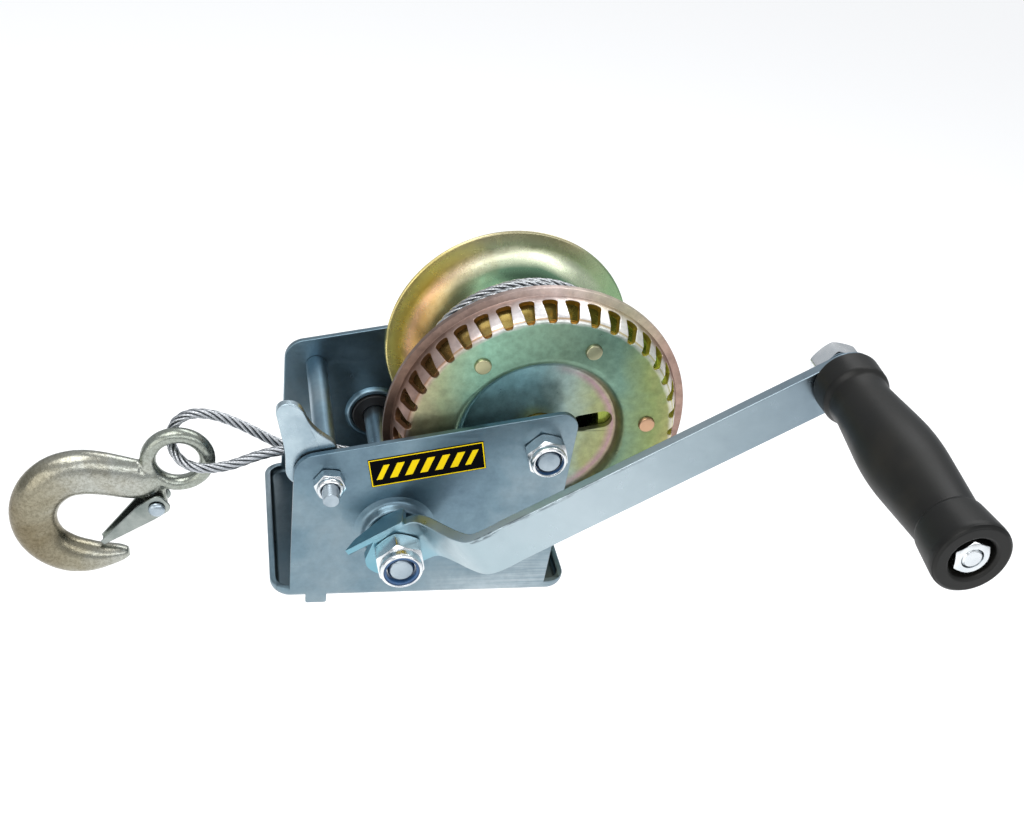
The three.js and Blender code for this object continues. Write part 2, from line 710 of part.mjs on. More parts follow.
// Pressed oval sleeve that closes the loop.
function cableSleeve() {
  const [halfWidth, halfHeight] = [5.9, 3.7];
  const length = SLEEVE_BACK - SLEEVE_FRONT;
  const section = new THREE.Shape().absellipse(0, 0, halfHeight, halfWidth, 0, 2 * Math.PI);
  const geometry = new THREE.ExtrudeGeometry(section, {
    depth: length - 1.6,
    bevelEnabled: true,
    bevelThickness: 0.8,
    bevelSize: 0.8,
    bevelOffset: -0.8,
    bevelSegments: 2,
    curveSegments: 10,
  });
  return solid(geometry.rotateY(Math.PI / 2).translate(SLEEVE_FRONT + 0.8, ROPE_Y, SLEEVE_Z));
}

// Forged hook: sections [x, z, width in the hook's plane, thickness across it] along its middle line.
const HOOK_SECTIONS = [
  [-126.6, 44.2, 14.4, 8.5],
  [-133.3, 40.4, 21.4, 11],
  [-146.5, 43, 23, 13.5],
  [-159.8, 45, 24.2, 15],
  [-170.8, 42.4, 24, 15.6],
  [-179.6, 34.2, 23.2, 16],
  [-184, 22.7, 22.4, 16],
  [-183, 10.8, 21.8, 15.6],
  [-177.4, 1.4, 21.1, 15],
  [-168.2, -4.6, 20.3, 14],
  [-158.2, -6.2, 17, 12.6],
  [-151.6, -5.7, 12.8, 11.2],
  [-144.4, -4.6, 8.8, 8.6],
  [-140.4, -4, 4.8, 4.8],
];

function hookBody() {
  const line = HOOK_SECTIONS.map(([x, z]) => new THREE.Vector2(x, z));
  const sides = 14;
  const rings = HOOK_SECTIONS.map(([x, z, width, thickness], i) => {
    const tangent = line[Math.min(i + 1, line.length - 1)].clone().sub(line[Math.max(i - 1, 0)]).normalize();
    return Array.from({ length: sides }, (_, k) => {
      const angle = (k * 2 * Math.PI) / sides;
      const across = (Math.cos(angle) * width) / 2;
      const deep = (Math.sin(angle) * thickness) / 2;
      return new THREE.Vector3(x - tangent.y * across, ROPE_Y + deep, z + tangent.x * across);
    });
  });
  return loft(rings);
}

function hook() {
  const torus = new THREE.TorusGeometry(EYE.radius, EYE.bar, 10, 26);
  const eye = solid(torus.rotateX(Math.PI / 2).translate(EYE.x, ROPE_Y, EYE.z));
  const lug = disc(LATCH_PIVOT, 5.2, ROPE_Y - 2.6, ROPE_Y + 2.6, 20);
  const web = roundedShape([
    [LATCH_PIVOT.x - 4, LATCH_PIVOT.z - 3, 0],
    [LATCH_PIVOT.x + 5, LATCH_PIVOT.z - 1, 0],
    [LATCH_PIVOT.x + 3.5, LATCH_PIVOT.z + 13, 0],
    [LATCH_PIVOT.x - 9, LATCH_PIVOT.z + 12, 0],
  ]);
  const solidLug = join(lug, prismY(web, ROPE_Y - 2.6, ROPE_Y + 2.6));
  const hole = disc(LATCH_PIVOT, 2 + GAP, ROPE_Y - 9, ROPE_Y + 9, 16);
  const cheekRoom = [-1, 1].map((side) => {
    const [near, far] = [ROPE_Y + side * 2.6, ROPE_Y + side * 12].sort((a, b) => a - b);
    return disc(LATCH_PIVOT, 7.6, near, far, 20);
  });
  return cut(join(eye, cut(hookBody(), ...cheekRoom), solidLug), hole);
}

function latchPin() {
  const half = 6.3;
  const profile = [
    [0, ROPE_Y - half - 1.9],
    [2.6, ROPE_Y - half - 1.5],
    [4, ROPE_Y - half],
    [2, ROPE_Y - half],
    [2, ROPE_Y + half],
    [4, ROPE_Y + half],
    [2.6, ROPE_Y + half + 1.5],
    [0, ROPE_Y + half + 1.9],
  ];
  return turned(LATCH_PIVOT, profile, 20);
}

// Folded sheet: two cheeks on the pin and a back that closes the hook's mouth.
function hookLatch() {
  const length = 35;
  const cheekInner = 4.7;
  const sheet = 1.2;
  const outline = roundedShape([
    [-6.2, -6.2, 3.5],
    [6, -6.6, 2],
    [length, -1, 0],
    [length, 1.6, 0],
    [5, 4.6, 3],
    [-6.2, 4.8, 3.5],
  ]);
  const trough = roundedShape([
    [-10, -12, 0],
    [8, -12, 0],
    [length - 1, -3, 0],
    [length + 5, -3, 0],
    [length + 5, -0.3, 0],
    [length - 2, 0.2, 0],
    [6, 3.2, 0],
    [4, 12, 0],
    [-10, 12, 0],
  ]);
  const body = prismY(outline, -cheekInner - sheet, cheekInner + sheet, 5);
  const hole = disc({ x: 0, z: 0 }, 2 + GAP, -9, 9, 16);
  const direction = Math.atan2(-23.9, -28);
  return cut(body, prismY(trough, -cheekInner, cheekInner), hole)
    .rotate([0, THREE.MathUtils.radToDeg(-direction), 0])
    .translate([LATCH_PIVOT.x, ROPE_Y, LATCH_PIVOT.z]);
}

// ---------------------------------------------------------------- assembly
const winch = new THREE.Group();

function add(name, body, material) {
  const mesh = new THREE.Mesh(geometryOf(body), material);
  mesh.name = name;
  winch.add(mesh);
}

add("frame_stamping", frameStamping(), ZINC);
add("label", label(), STICKER);

const DRUM_NUT = [DRUM, 18, 10.4, SHAFT_RADIUS, NEAR_OUT - GAP];
add("drum_axle_bolt", boltWithFarHead(DRUM, SHAFT_RADIUS, 18, -61.2, FAR_OUT + GAP, 7.5), BRIGHT_ZINC);
add("drum_axle_nut", lockNut(...DRUM_NUT, 0.25), BRIGHT_ZINC);
add("drum_axle_nut_ring", nylonRing(...DRUM_NUT), BLUE_NYLON);
add("near_axle_spacer", ring(DRUM, SHAFT_RADIUS + GAP, HUB_TUBE_RADIUS, NEAR_IN + GAP, -42.6), ZINC);
add("far_axle_spacer", ring(DRUM, SHAFT_RADIUS + GAP, HUB_TUBE_RADIUS, 40.6, FAR_IN - GAP), ZINC);

const TIE_NUT = [TIE, 13, 8, TIE_RADIUS, NEAR_OUT - GAP];
add("tie_bolt", boltWithFarHead(TIE, TIE_RADIUS, 13, -66.8, FAR_OUT + GAP, 5.3, 20), BRIGHT_ZINC);
add("tie_nut", lockNut(...TIE_NUT, 0.1), BRIGHT_ZINC);
add("tie_nut_ring", nylonRing(...TIE_NUT), BLUE_NYLON);
add("tie_spacer_tube", ring(TIE, TIE_RADIUS + GAP, 5.2, -42.9, FAR_IN - GAP, 24), ZINC);
add("pawl_spring", ring(TIE, 5.6, 7.6, -42.6, -35.4, 20), BRIGHT_ZINC);

add("near_shaft_bush", ring(DRIVE, SHAFT_RADIUS + GAP, 8, -56.5, -47.2), ZINC);
add("far_shaft_bush", ring(DRIVE, SHAFT_RADIUS + GAP, 11.8, 44.6, 55), BLACK_PLASTIC);

add("gear_disc", gearDisc(), YELLOW_ZINC);
add("drum_spool", drumSpool(), YELLOW_ZINC);
add("hub_tube", ring(DRUM, SHAFT_RADIUS + GAP, HUB_TUBE_RADIUS, -42.3, 40.3), YELLOW_ZINC);
add("hub_end_plate", ring(DRUM, HUB_TUBE_RADIUS + GAP, HUB_RADIUS - 2 - GAP, 7.5, 10), YELLOW_ZINC);
rivetPlaces().forEach((place, k) => add(`gear_rivet_${k + 1}`, rivet(place), YELLOW_ZINC));
add("rope_winding", ropeWinding(), ROPE_STEEL);

const CRANK_NUT = [DRIVE, 21, 14.4, SHAFT_RADIUS, HUB_FACE_Y - GAP];
add("drive_shaft", driveShaft(), BRIGHT_ZINC);
add("pinion", pinion(), ZINC);
add("shaft_clip", shaftClip(), BRIGHT_ZINC);
add("crank_arm", crankArm(), ZINC);
add("crank_nut", lockNut(...CRANK_NUT, 0.3), BRIGHT_ZINC);
add("crank_nut_ring", nylonRing(...CRANK_NUT), BLUE_NYLON);
add("grip_bolt", gripBolt(), BRIGHT_ZINC);
add("grip_nut", gripNut(), BRIGHT_ZINC);
add("grip", grip(), BLACK_PLASTIC);
add("pawl", pawl(), ZINC);

add("cable_run", cableRun(), ROPE_STEEL);
add("cable_sleeve", cableSleeve(), ROPE_STEEL);
add("cable_loop", cableLoop(), ROPE_STEEL);
add("hook", hook(), PALE_GOLD_ZINC);
add("latch_pin", latchPin(), BRIGHT_ZINC);
add("latch_spring", ring(LATCH_PIVOT, 2.4, 3.6, ROPE_Y + 2.9, ROPE_Y + 4.4, 16), BRIGHT_ZINC);
add("hook_latch", hookLatch(), ZINC);

export default winch;
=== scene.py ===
"""Looks of the boat trailer hand winch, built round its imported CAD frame.

Shapes are worked out in millimetres in the row frame, and become metres in make_object().
"""

import math
import random

import bmesh
import bpy
import numpy as np
from mathutils import Matrix, Vector


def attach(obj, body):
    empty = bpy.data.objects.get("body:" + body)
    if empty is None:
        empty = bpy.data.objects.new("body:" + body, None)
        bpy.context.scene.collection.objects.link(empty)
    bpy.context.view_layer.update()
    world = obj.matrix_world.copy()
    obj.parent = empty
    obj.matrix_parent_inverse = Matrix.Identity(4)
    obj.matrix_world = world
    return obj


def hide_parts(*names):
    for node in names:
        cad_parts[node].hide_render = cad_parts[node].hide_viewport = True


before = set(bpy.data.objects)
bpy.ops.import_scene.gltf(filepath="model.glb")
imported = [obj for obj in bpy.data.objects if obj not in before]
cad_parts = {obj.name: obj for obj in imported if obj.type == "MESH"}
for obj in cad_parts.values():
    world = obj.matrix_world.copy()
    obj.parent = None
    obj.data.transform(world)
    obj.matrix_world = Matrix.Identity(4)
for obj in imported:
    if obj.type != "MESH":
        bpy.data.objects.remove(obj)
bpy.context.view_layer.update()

MM = 0.001
TAU = 2 * math.pi

# ---------------------------------------------------------------- sizes shared with the CAD
PLATE_OUT, PLATE_IN = 51.5, 48.5  # outer and inner faces of the side plates, in Y
PLATE_FRONT, PLATE_BACK_LOW, PLATE_BACK_HIGH = -64, 61.4, 65.5
PLATE_TOP_FRONT, PLATE_TOP_BACK = 83.4, 109.1
BASE_HALF = 73
RIM_HEIGHT = 6.5
TAB_DEPTH = 2.6
DRUM = (51, 87.4)
DRIVE = (-16, 41.9)
TIE = (-47.9, 71.3)
ARM_ANGLE = math.radians(32.4)
ARM_LENGTH = 213
GRIP = (DRIVE[0] + ARM_LENGTH * math.cos(ARM_ANGLE), DRIVE[1] + ARM_LENGTH * math.sin(ARM_ANGLE))
HUB_FACE, BAR_FACE, ARM_THICK = -67.5, -97.5, 5
ARM_LOW, ARM_HIGH, ARM_END = 11.9, 10.5, 14
GRIP_LENGTH = 117.5
GRIP_SHOULDER = BAR_FACE - GRIP_LENGTH + 9
GEAR_TEETH = 40
GEAR_PHASE = math.radians(218.68)
PINION_TEETH = 10
PINION_PHASE = math.radians(52.18)
GEAR_FACE = -41.7
RIM_OUT = 73.2
RIVET_CIRCLE = 51.2
RIVET_PHASE = math.radians(9)
HUB_RADIUS, FLANGE_RADIUS = 32, 63.4
FLARE_START, FLARE_END = 10.5, 45.6
ROPE_RADIUS = 2.5
ROPE_Y = -7.5
ROPE_LINE_RADIUS = 48.6
WINDING_RADIUS = 51
SLEEVE_Z, SLEEVE_FRONT, SLEEVE_BACK = 58.4, -65.5, -47.5
EYE, EYE_RADIUS, EYE_BAR = (-116.2, 52.2), 13.9, 3.9
LATCH_PIVOT = (-126.4, 26.6)
LABEL = (-3.5, 80)
LABEL_HALF_LONG, LABEL_HALF_HIGH = 26.75, 7.75
GAP = 0.3  # clearance where one piece sits on or in another
WINDING_ROOM = 0.6  # left between the winding's CAD radius and the rope on each side of it
TOP_SLOPE = math.atan2(PLATE_TOP_BACK - PLATE_TOP_FRONT, PLATE_BACK_HIGH - PLATE_FRONT)


# ---------------------------------------------------------------- mesh helpers
def make_object(name, verts, faces, smooth=38):
    """A mesh object from millimetre points, its normals outward and its sharp edges marked by angle."""
    mesh = bpy.data.meshes.new(name)
    mesh.from_pydata([tuple(c * MM for c in v) for v in verts], [], faces)
    bm = bmesh.new()
    bm.from_mesh(mesh)
    bmesh.ops.remove_doubles(bm, verts=bm.verts, dist=2e-6)
    bmesh.ops.recalc_face_normals(bm, faces=bm.faces)
    for face in bm.faces:
        face.smooth = True
    bm.to_mesh(mesh)
    bm.free()
    mesh.set_sharp_from_angle(angle=math.radians(smooth))
    obj = bpy.data.objects.new(name, mesh)
    bpy.context.scene.collection.objects.link(obj)
    return obj


def evaluated(obj, smooth=38):
    """The same object with its modifiers applied."""
    bpy.context.view_layer.update()
    graph = bpy.context.evaluated_depsgraph_get()
    mesh = bpy.data.meshes.new_from_object(obj.evaluated_get(graph), depsgraph=graph)
    obj.modifiers.clear()
    obj.data = mesh
    mesh.polygons.foreach_set("use_smooth", [True] * len(mesh.polygons))
    mesh.set_sharp_from_angle(angle=math.radians(smooth))
    return obj


def joined(name, objects):
    """One object made of several closed shells."""
    bm = bmesh.new()
    for obj in objects:
        bm.from_mesh(obj.data)
        bpy.data.objects.remove(obj)
    mesh = bpy.data.meshes.new(name)
    bm.to_mesh(mesh)
    bm.free()
    obj = bpy.data.objects.new(name, mesh)
    bpy.context.scene.collection.objects.link(obj)
    return obj


def cut_by(obj, cutters):
    """obj less each cutter; the cutters are removed."""
    for cutter in cutters:
        modifier = obj.modifiers.new("cut", "BOOLEAN")
        modifier.operation, modifier.solver, modifier.object = "DIFFERENCE", "EXACT", cutter
    evaluated(obj)
    for cutter in cutters:
        bpy.data.objects.remove(cutter)
    return obj


def even_normals(obj):
    """Flat faces stay flat where they meet small roundings."""
    modifier = obj.modifiers.new("normals", "WEIGHTED_NORMAL")
    modifier.keep_sharp = True
    return obj


def softened(obj, width, segments=2, angle=40):
    """Rounds the edges sharper than angle."""
    bevel = obj.modifiers.new("edges", "BEVEL")
    bevel.width, bevel.segments = width * MM, segments
    bevel.limit_method, bevel.angle_limit = "ANGLE", math.radians(angle)
    bevel.use_clamp_overlap = False
    evaluated(obj)
    return even_normals(obj)


def loft(rings, closed=False):
    """Vertices and faces of a skin through equal rings, with its ends capped unless it closes on itself."""
    count, sides = len(rings), len(rings[0])
    verts = [p for ring in rings for p in ring]
    faces = []
    for r in range(count if closed else count - 1):
        for s in range(sides):
            a, b = r * sides + s, r * sides + (s + 1) % sides
            c, d = (r + 1) % count * sides + (s + 1) % sides, (r + 1) % count * sides + s
            faces.append((a, b, c, d))
    if not closed:
        faces.append(tuple(range(sides)))
        faces.append(tuple((count - 1) * sides + s for s in range(sides)))
    return verts, faces


def rounded(corners, steps=6):
    """Outline of a polygon whose corners (u, v, distance) become arcs that start that distance away."""
    points = []
    for i, corner in enumerate(corners):
        here = Vector(corner[:2])
        reach = corner[2] if len(corner) > 2 else 0
        if not reach:
            points.append(here)
            continue
        before = (Vector(corners[i - 1][:2]) - here).normalized()
        after = (Vector(corners[(i + 1) % len(corners)][:2]) - here).normalized()
        centre = here + (before + after).normalized() * (reach / math.cos(before.angle(after) / 2))
        start, end = here + before * reach - centre, here + after * reach - centre
        sweep = start.angle(end)
        for k in range(steps + 1):
            t = k / steps
            spoke = (start * math.sin((1 - t) * sweep) + end * math.sin(t * sweep)) / math.sin(sweep)
            points.append(centre + spoke)
    return points


def circle(centre, radius, steps=48):
    return [
        Vector(
            (centre[0] + radius * math.cos(k * TAU / steps), centre[1] + radius * math.sin(k * TAU / steps))
        )
        for k in range(steps)
    ]


def revolve(name, axis, rings, segments=72, smooth=38):
    """A closed skin round a line along Y. Each ring is (radius, y), as numbers or functions of the angle."""
    value = lambda item, angle: item(angle) if callable(item) else item
    skins = []
    for radius, y in rings:
        ring = []
        for k in range(segments):
            angle = k * TAU / segments
            r = value(radius, angle)
            ring.append((axis[0] + r * math.cos(angle), value(y, angle), axis[1] + r * math.sin(angle)))
        skins.append(ring)
    verts, faces = loft(skins, closed=True)
    return make_object(name, verts, faces, smooth)


def turned(name, axis, profile, segments=72, steps=4, smooth=38):
    """revolve() for a closed profile of (radius, y, rounding) corners."""
    return revolve(name, axis, [tuple(p) for p in rounded(profile, steps)], segments, smooth)


def pressed(name, outlines, low, high, place, edge=0.4, steps=2):
    """A flat piece with rounded edges from 2D outlines and holes. place turns (u, v, w) into a point."""
    curve = bpy.data.curves.new(name, "CURVE")
    curve.dimensions, curve.fill_mode = "2D", "BOTH"
    curve.extrude, curve.bevel_depth = (high - low) / 2 - edge, edge
    curve.bevel_resolution, curve.offset = steps, -edge
    for outline in outlines:
        spline = curve.splines.new("POLY")
        spline.points.add(len(outline) - 1)
        spline.use_cyclic_u = True
        for point, (u, v) in zip(spline.points, outline):
            point.co = (u, v, 0, 1)
    flat = bpy.data.objects.new(name, curve)
    mesh = bpy.data.meshes.new_from_object(flat)
    middle = (low + high) / 2
    verts = [place(v.co.x, v.co.y, v.co.z + middle) for v in mesh.vertices]
    faces = [tuple(p.vertices) for p in mesh.polygons]
    bpy.data.objects.remove(flat)
    bpy.data.curves.remove(curve)
    bpy.data.meshes.remove(mesh)
    return even_normals(make_object(name, verts, faces))


def upright(u, v, w):
    """Places a piece drawn in the XZ plane and pulled along Y."""
    return (u, w, v)


def smooth_line(points, step):
    """Points about step apart on a centripetal Catmull-Rom curve through the given ones."""
    given = [np.array(p, float) for p in points]
    line = [2 * given[0] - given[1], *given, 2 * given[-1] - given[-2]]
    made = []
    for i in range(1, len(line) - 2):
        p = line[i - 1:i + 3]
        knots = [0.0]
        for a, b in zip(p, p[1:]):
            knots.append(knots[-1] + max(np.linalg.norm(b - a), 1e-9) ** 0.5)
        count = max(2, int(math.ceil(np.linalg.norm(p[2] - p[1]) / step)))
        for k in range(count):
            t = knots[1] + (knots[2] - knots[1]) * k / count
            level = p
            for depth in (1, 2, 3):
                level = [((knots[j + depth] - t) * level[j] + (t - knots[j]) * level[j + 1])
                         / (knots[j + depth] - knots[j]) for j in range(len(level) - 1)]
            made.append(level[0])
    made.append(given[-1])
    return np.array(made)


def carried_frames(path):
    """A tangent, side and up vector at each point, turning as little as the line allows."""
    tangents = np.gradient(path, axis=0)
    tangents /= np.linalg.norm(tangents, axis=1)[:, None]
    first = np.cross(tangents[0], (0.3, 0.2, 1.0))
    side = first / np.linalg.norm(first)
    sides = []
    for tangent in tangents:
        side = side - tangent * side.dot(tangent)
        side = side / np.linalg.norm(side)
        sides.append(side)
    sides = np.array(sides)
    return tangents, sides, np.cross(tangents, sides)


def tube(name, path, section, lay=0, smooth=60):
    """A tube whose section of (radius, angle) pairs follows the path, turning once in each lay."""
    path = np.array(path, float)
    _, sides, ups = carried_frames(path)
    run = np.concatenate([[0], np.cumsum(np.linalg.norm(np.diff(path, axis=0), axis=1))])
    rings = []
    for point, side, up, along in zip(path, sides, ups, run):
        turn = TAU * along / lay if lay else 0
        rings.append([tuple(point + radius * (math.cos(angle + turn) * side + math.sin(angle + turn) * up))
                      for radius, angle in section])
    verts, faces = loft(rings)
    obj = make_object(name, verts, faces, smooth)
    add_run_map(obj, len(section), run)
    return obj


def add_run_map(obj, sides, run):
    """A UV map with u round the section and v along the tube in millimetres, for what is drawn on ropes."""
    uv = obj.data.uv_layers.new(name="run")
    if len(obj.data.vertices) != sides * len(run):
        return
    for polygon in obj.data.polygons:
        ids = [obj.data.loops[i].vertex_index for i in polygon.loop_indices]
        wraps = max(v % sides for v in ids) - min(v % sides for v in ids) > sides / 2
        for loop, vertex in zip(polygon.loop_indices, ids):
            across = vertex % sides
            if wraps and across < sides / 2:
                across += sides
            uv.data[loop].uv = (across / sides, run[vertex // sides] / 10)


def round_section(radius, sides=12):
    return [(radius, k * TAU / sides) for k in range(sides)]


def strand_section(radius, strands=6, per_strand=7):
    """Outline of strands laid round a core: each strand is a circle a third of the rope's size."""
    centre, small = radius * 0.665, radius * 0.335
    section = []
    for strand in range(strands):
        for k in range(per_strand):
            away = (k / per_strand - 0.5) * TAU / strands
            chord = max(small ** 2 - (centre * math.sin(away)) ** 2, 0)
            section.append((centre * math.cos(away) + math.sqrt(chord), strand * TAU / strands + away))
    return section


def coil(name, axis, radius, wire, y0, y1, turns):
    """A spring of round wire round a line along Y."""
    path = [(axis[0] + radius * math.cos(t * TAU), y0 + (y1 - y0) * t / turns,
             axis[1] + radius * math.sin(t * TAU)) for t in np.linspace(0, turns, int(turns * 36))]
    return tube(name, path, round_section(wire / 2, 10))


# ---------------------------------------------------------------- material helpers
class Shade:
    """A Principled material with short names for the nodes that feed it."""

    def __init__(self, name, color=(0.5, 0.5, 0.5), metallic=0.0, roughness=0.5):
        self.material = bpy.data.materials.new(name)
        self.material.use_nodes = True
        self.tree = self.material.node_tree
        self.bsdf = self.tree.nodes["Principled BSDF"]
        self.set("Base Color", (*color, 1))
        self.set("Metallic", metallic)
        self.set("Roughness", roughness)
        self.place = self.node("ShaderNodeTexCoord").outputs["Object"]

    def set(self, socket, value):
        """Sets a socket of the shader to a constant, or links it."""
        if isinstance(value, bpy.types.NodeSocket):
            self.tree.links.new(value, self.bsdf.inputs[socket])
        else:
            self.bsdf.inputs[socket].default_value = value

    def node(self, kind, links=None, **settings):
        node = self.tree.nodes.new(kind)
        for key, value in settings.items():
            setattr(node, key, value)
        for key, value in (links or {}).items():
            if isinstance(value, bpy.types.NodeSocket):
                self.tree.links.new(value, node.inputs[key])
            else:
                node.inputs[key].default_value = value
        return node

    def stretched(self, scale):
        links = {"Vector": self.place, "Scale": scale}
        return self.node("ShaderNodeMapping", links).outputs["Vector"]

    def noise(self, scale, detail=3, rough=0.55, source=None, twist=0.0):
        links = {"Vector": source or self.place, "Scale": scale, "Detail": detail, "Roughness": rough,
                 "Distortion": twist}
        return self.node("ShaderNodeTexNoise", links).outputs["Fac"]

    def spread(self, value, low, high, to_low=0.0, to_high=1.0):
        links = {"Value": value, "From Min": low, "From Max": high, "To Min": to_low, "To Max": to_high}
        return self.node("ShaderNodeMapRange", links).outputs["Result"]

    def calc(self, operation, a, b=0.0, clamp=False):
        return self.node("ShaderNodeMath", {0: a, 1: b}, operation=operation, use_clamp=clamp).outputs[0]

    def times(self, a, b):
        return self.calc("MULTIPLY", a, b)

    def plus(self, a, b):
        return self.calc("ADD", a, b)

    def minus(self, a, b, clamp=False):
        return self.calc("SUBTRACT", a, b, clamp)

    def size(self, value):
        return self.calc("ABSOLUTE", value)

    def ramp(self, value, stops):
        node = self.node("ShaderNodeValToRGB", {"Fac": value})
        ramp = node.color_ramp
        while len(ramp.elements) < len(stops):
            ramp.elements.new(0.5)
        for element, (position, color) in zip(ramp.elements, stops):
            element.position = position
            element.color = (*color, 1)
        return node.outputs["Color"]

    def mix(self, share, a, b, blend="MIX"):
        node = self.node("ShaderNodeMix", data_type="RGBA", blend_type=blend)
        for socket, value in ((node.inputs[0], share), (node.inputs[6], a), (node.inputs[7], b)):
            if isinstance(value, bpy.types.NodeSocket):
                self.tree.links.new(value, socket)
            else:
                socket.default_value = (*value, 1) if isinstance(value, tuple) else value
        return node.outputs[2]

    def bump(self, height, depth, strength=1.0, normal=None):
        links = {"Height": height, "Distance": depth * MM, "Strength": strength}
        if normal is not None:
            links["Normal"] = normal
        return self.node("ShaderNodeBump", links).outputs["Normal"]

    def grey(self, value):
        return self.node("ShaderNodeCombineColor", {0: value, 1: value, 2: value}).outputs[0]

    def millimetres(self):
        """The place's X, Y and Z in millimetres."""
        scaled = self.node(
            "ShaderNodeVectorMath", {0: self.place, "Scale": 1 / MM}, operation="SCALE",
        ).outputs[0]
        return self.node("ShaderNodeSeparateXYZ", {"Vector": scaled}).outputs

    def round_drum(self):
        """Distance from the drum's axis, and how far across and behind, in millimetres."""
        x, y, z = self.millimetres()
        across, high = self.minus(x, DRUM[0]), self.minus(z, DRUM[1])
        squares = self.plus(self.times(across, across), self.times(high, high))
        return self.calc("SQRT", squares), across, y

    def metal(self, color, smooth, coarse, grain=0.02, scale=420):
        """Sets the colour, a roughness that wanders between two values, and a fine grain."""
        self.set("Base Color", color)
        self.set("Roughness", self.spread(self.noise(scale * 0.45, 4, 0.65), 0.3, 0.7, smooth, coarse))
        self.set("Normal", self.bump(self.noise(scale, 4, 0.7), grain, 0.4))
        return self.material


def zinc_sheet():
    """Bluish zinc on rolled sheet: clouded, brushed low at the back, with painted shade in the tray and
    painted light on the side plates above it.
    """
    s = Shade("zinc sheet", metallic=1.0)
    x, y, z = s.millimetres()
    big, small = s.noise(9, 2, 0.5, twist=0.6), s.noise(60, 4, 0.6, twist=0.5)
    tone = s.plus(s.times(big, 0.8), s.times(small, 0.2))
    brushed = s.noise(1.0, 4, 0.65, source=s.stretched((18, 18, 700)))
    low_back = s.times(s.spread(x, -5, 45), s.spread(z, 42, 14))
    tone = s.plus(tone, s.times(low_back, s.spread(brushed, 0.35, 0.65, -0.01, 0.15)))
    tint = s.ramp(tone, [
        (0.34, (0.11, 0.17, 0.22)), (0.46, (0.16, 0.24, 0.29)), (0.56, (0.23, 0.30, 0.34)),
        (0.70, (0.38, 0.45, 0.49)),
    ])
    # Painted shade and light between the side plates: darker low in the tray, lighter higher up the plates'
    # inner faces.
    inside = s.times(s.spread(s.size(y), 48.9, 48.3), s.spread(z, 2.2, 3.0))
    inside = s.times(inside, s.spread(s.size(x), 70.3, 69.8))
    fine = s.noise(260, 4, 0.7)
    depth = s.spread(z, 6, 14, 0.5, -0.35)
    # shade: the painted shade and light between the plates, times a fine random tone.
    shade = s.times(s.minus(1.0, s.times(inside, depth)), s.spread(fine, 0.35, 0.7, 0.92, 1.05))
    s.set("Base Color", s.mix(1.0, tint, s.grey(shade), "MULTIPLY"))
    s.set(
        "Roughness",
        s.plus(s.spread(small, 0.3, 0.7, 0.38, 0.27), s.spread(brushed, 0.45, 0.75, 0.0, 0.10)),
    )
    s.set("Normal", s.bump(s.plus(fine, s.times(brushed, 0.4)), 0.03, 0.45))
    return s.material


def arm_zinc():
    """Zinc on the crank arm, bluer at the hub, with painted light in its middle and painted shade darkening
    the far end, and dark dashes along its upper edge.
    """
    s = Shade("arm zinc", metallic=1.0)
    x, y, z = s.millimetres()
    dx, dz = s.minus(x, DRIVE[0]), s.minus(z, DRIVE[1])
    cosine, sine = math.cos(ARM_ANGLE), math.sin(ARM_ANGLE)
    along = s.plus(s.times(dx, cosine), s.times(dz, sine))
    across = s.minus(s.times(dz, cosine), s.times(dx, sine))
    wander = s.spread(s.noise(25, 4, 0.6, twist=0.5), 0.25, 0.75, -16, 16)
    # Painted light and shade along the arm: lighter in the middle, darker towards the far end, bluer at the
    # hub.
    tint = s.ramp(s.spread(s.plus(along, wander), -20, 220), [
        (0.0, (0.18, 0.37, 0.45)), (0.12, (0.26, 0.42, 0.49)), (0.20, (0.36, 0.46, 0.50)),
        (0.45, (0.42, 0.50, 0.54)), (0.75, (0.28, 0.35, 0.39)), (1.0, (0.18, 0.24, 0.29)),
    ])
    lie = s.node("ShaderNodeCombineXYZ", {"X": s.times(along, 0.12), "Y": s.times(across, 0.6)})
    # Dark dashes on the front face along its upper edge, strongest near the hub and fading towards the grip.
    dash_noise = s.noise(1.0, 3, 0.7, source=lie.outputs[0])
    edge_dashes = s.times(s.spread(across, 8.7, 9.5), s.spread(dash_noise, 0.46, 0.58))
    edge_dashes = s.times(edge_dashes, s.spread(along, 150, 60, 0.0, 0.75))
    edge_dashes = s.times(edge_dashes, s.spread(s.size(s.plus(y, 97.5)), 1.2, 0.6))
    s.metal(s.mix(edge_dashes, tint, (0.09, 0.11, 0.13)), 0.26, 0.40, 0.03)
    return s.material


def bright_zinc():
    """Fasteners: brighter and smoother zinc."""
    s = Shade("bright zinc", metallic=1.0)
    clouds = s.noise(90, 2, 0.5)
    s.set("Base Color", s.ramp(clouds, [(0.3, (0.62, 0.66, 0.69)), (0.7, (0.84, 0.86, 0.87))]))
    s.set("Roughness", s.spread(s.noise(600, 3), 0.3, 0.7, 0.16, 0.28))
    s.set("Normal", s.bump(s.noise(300, 3), 0.02, 0.35))
    return s.material


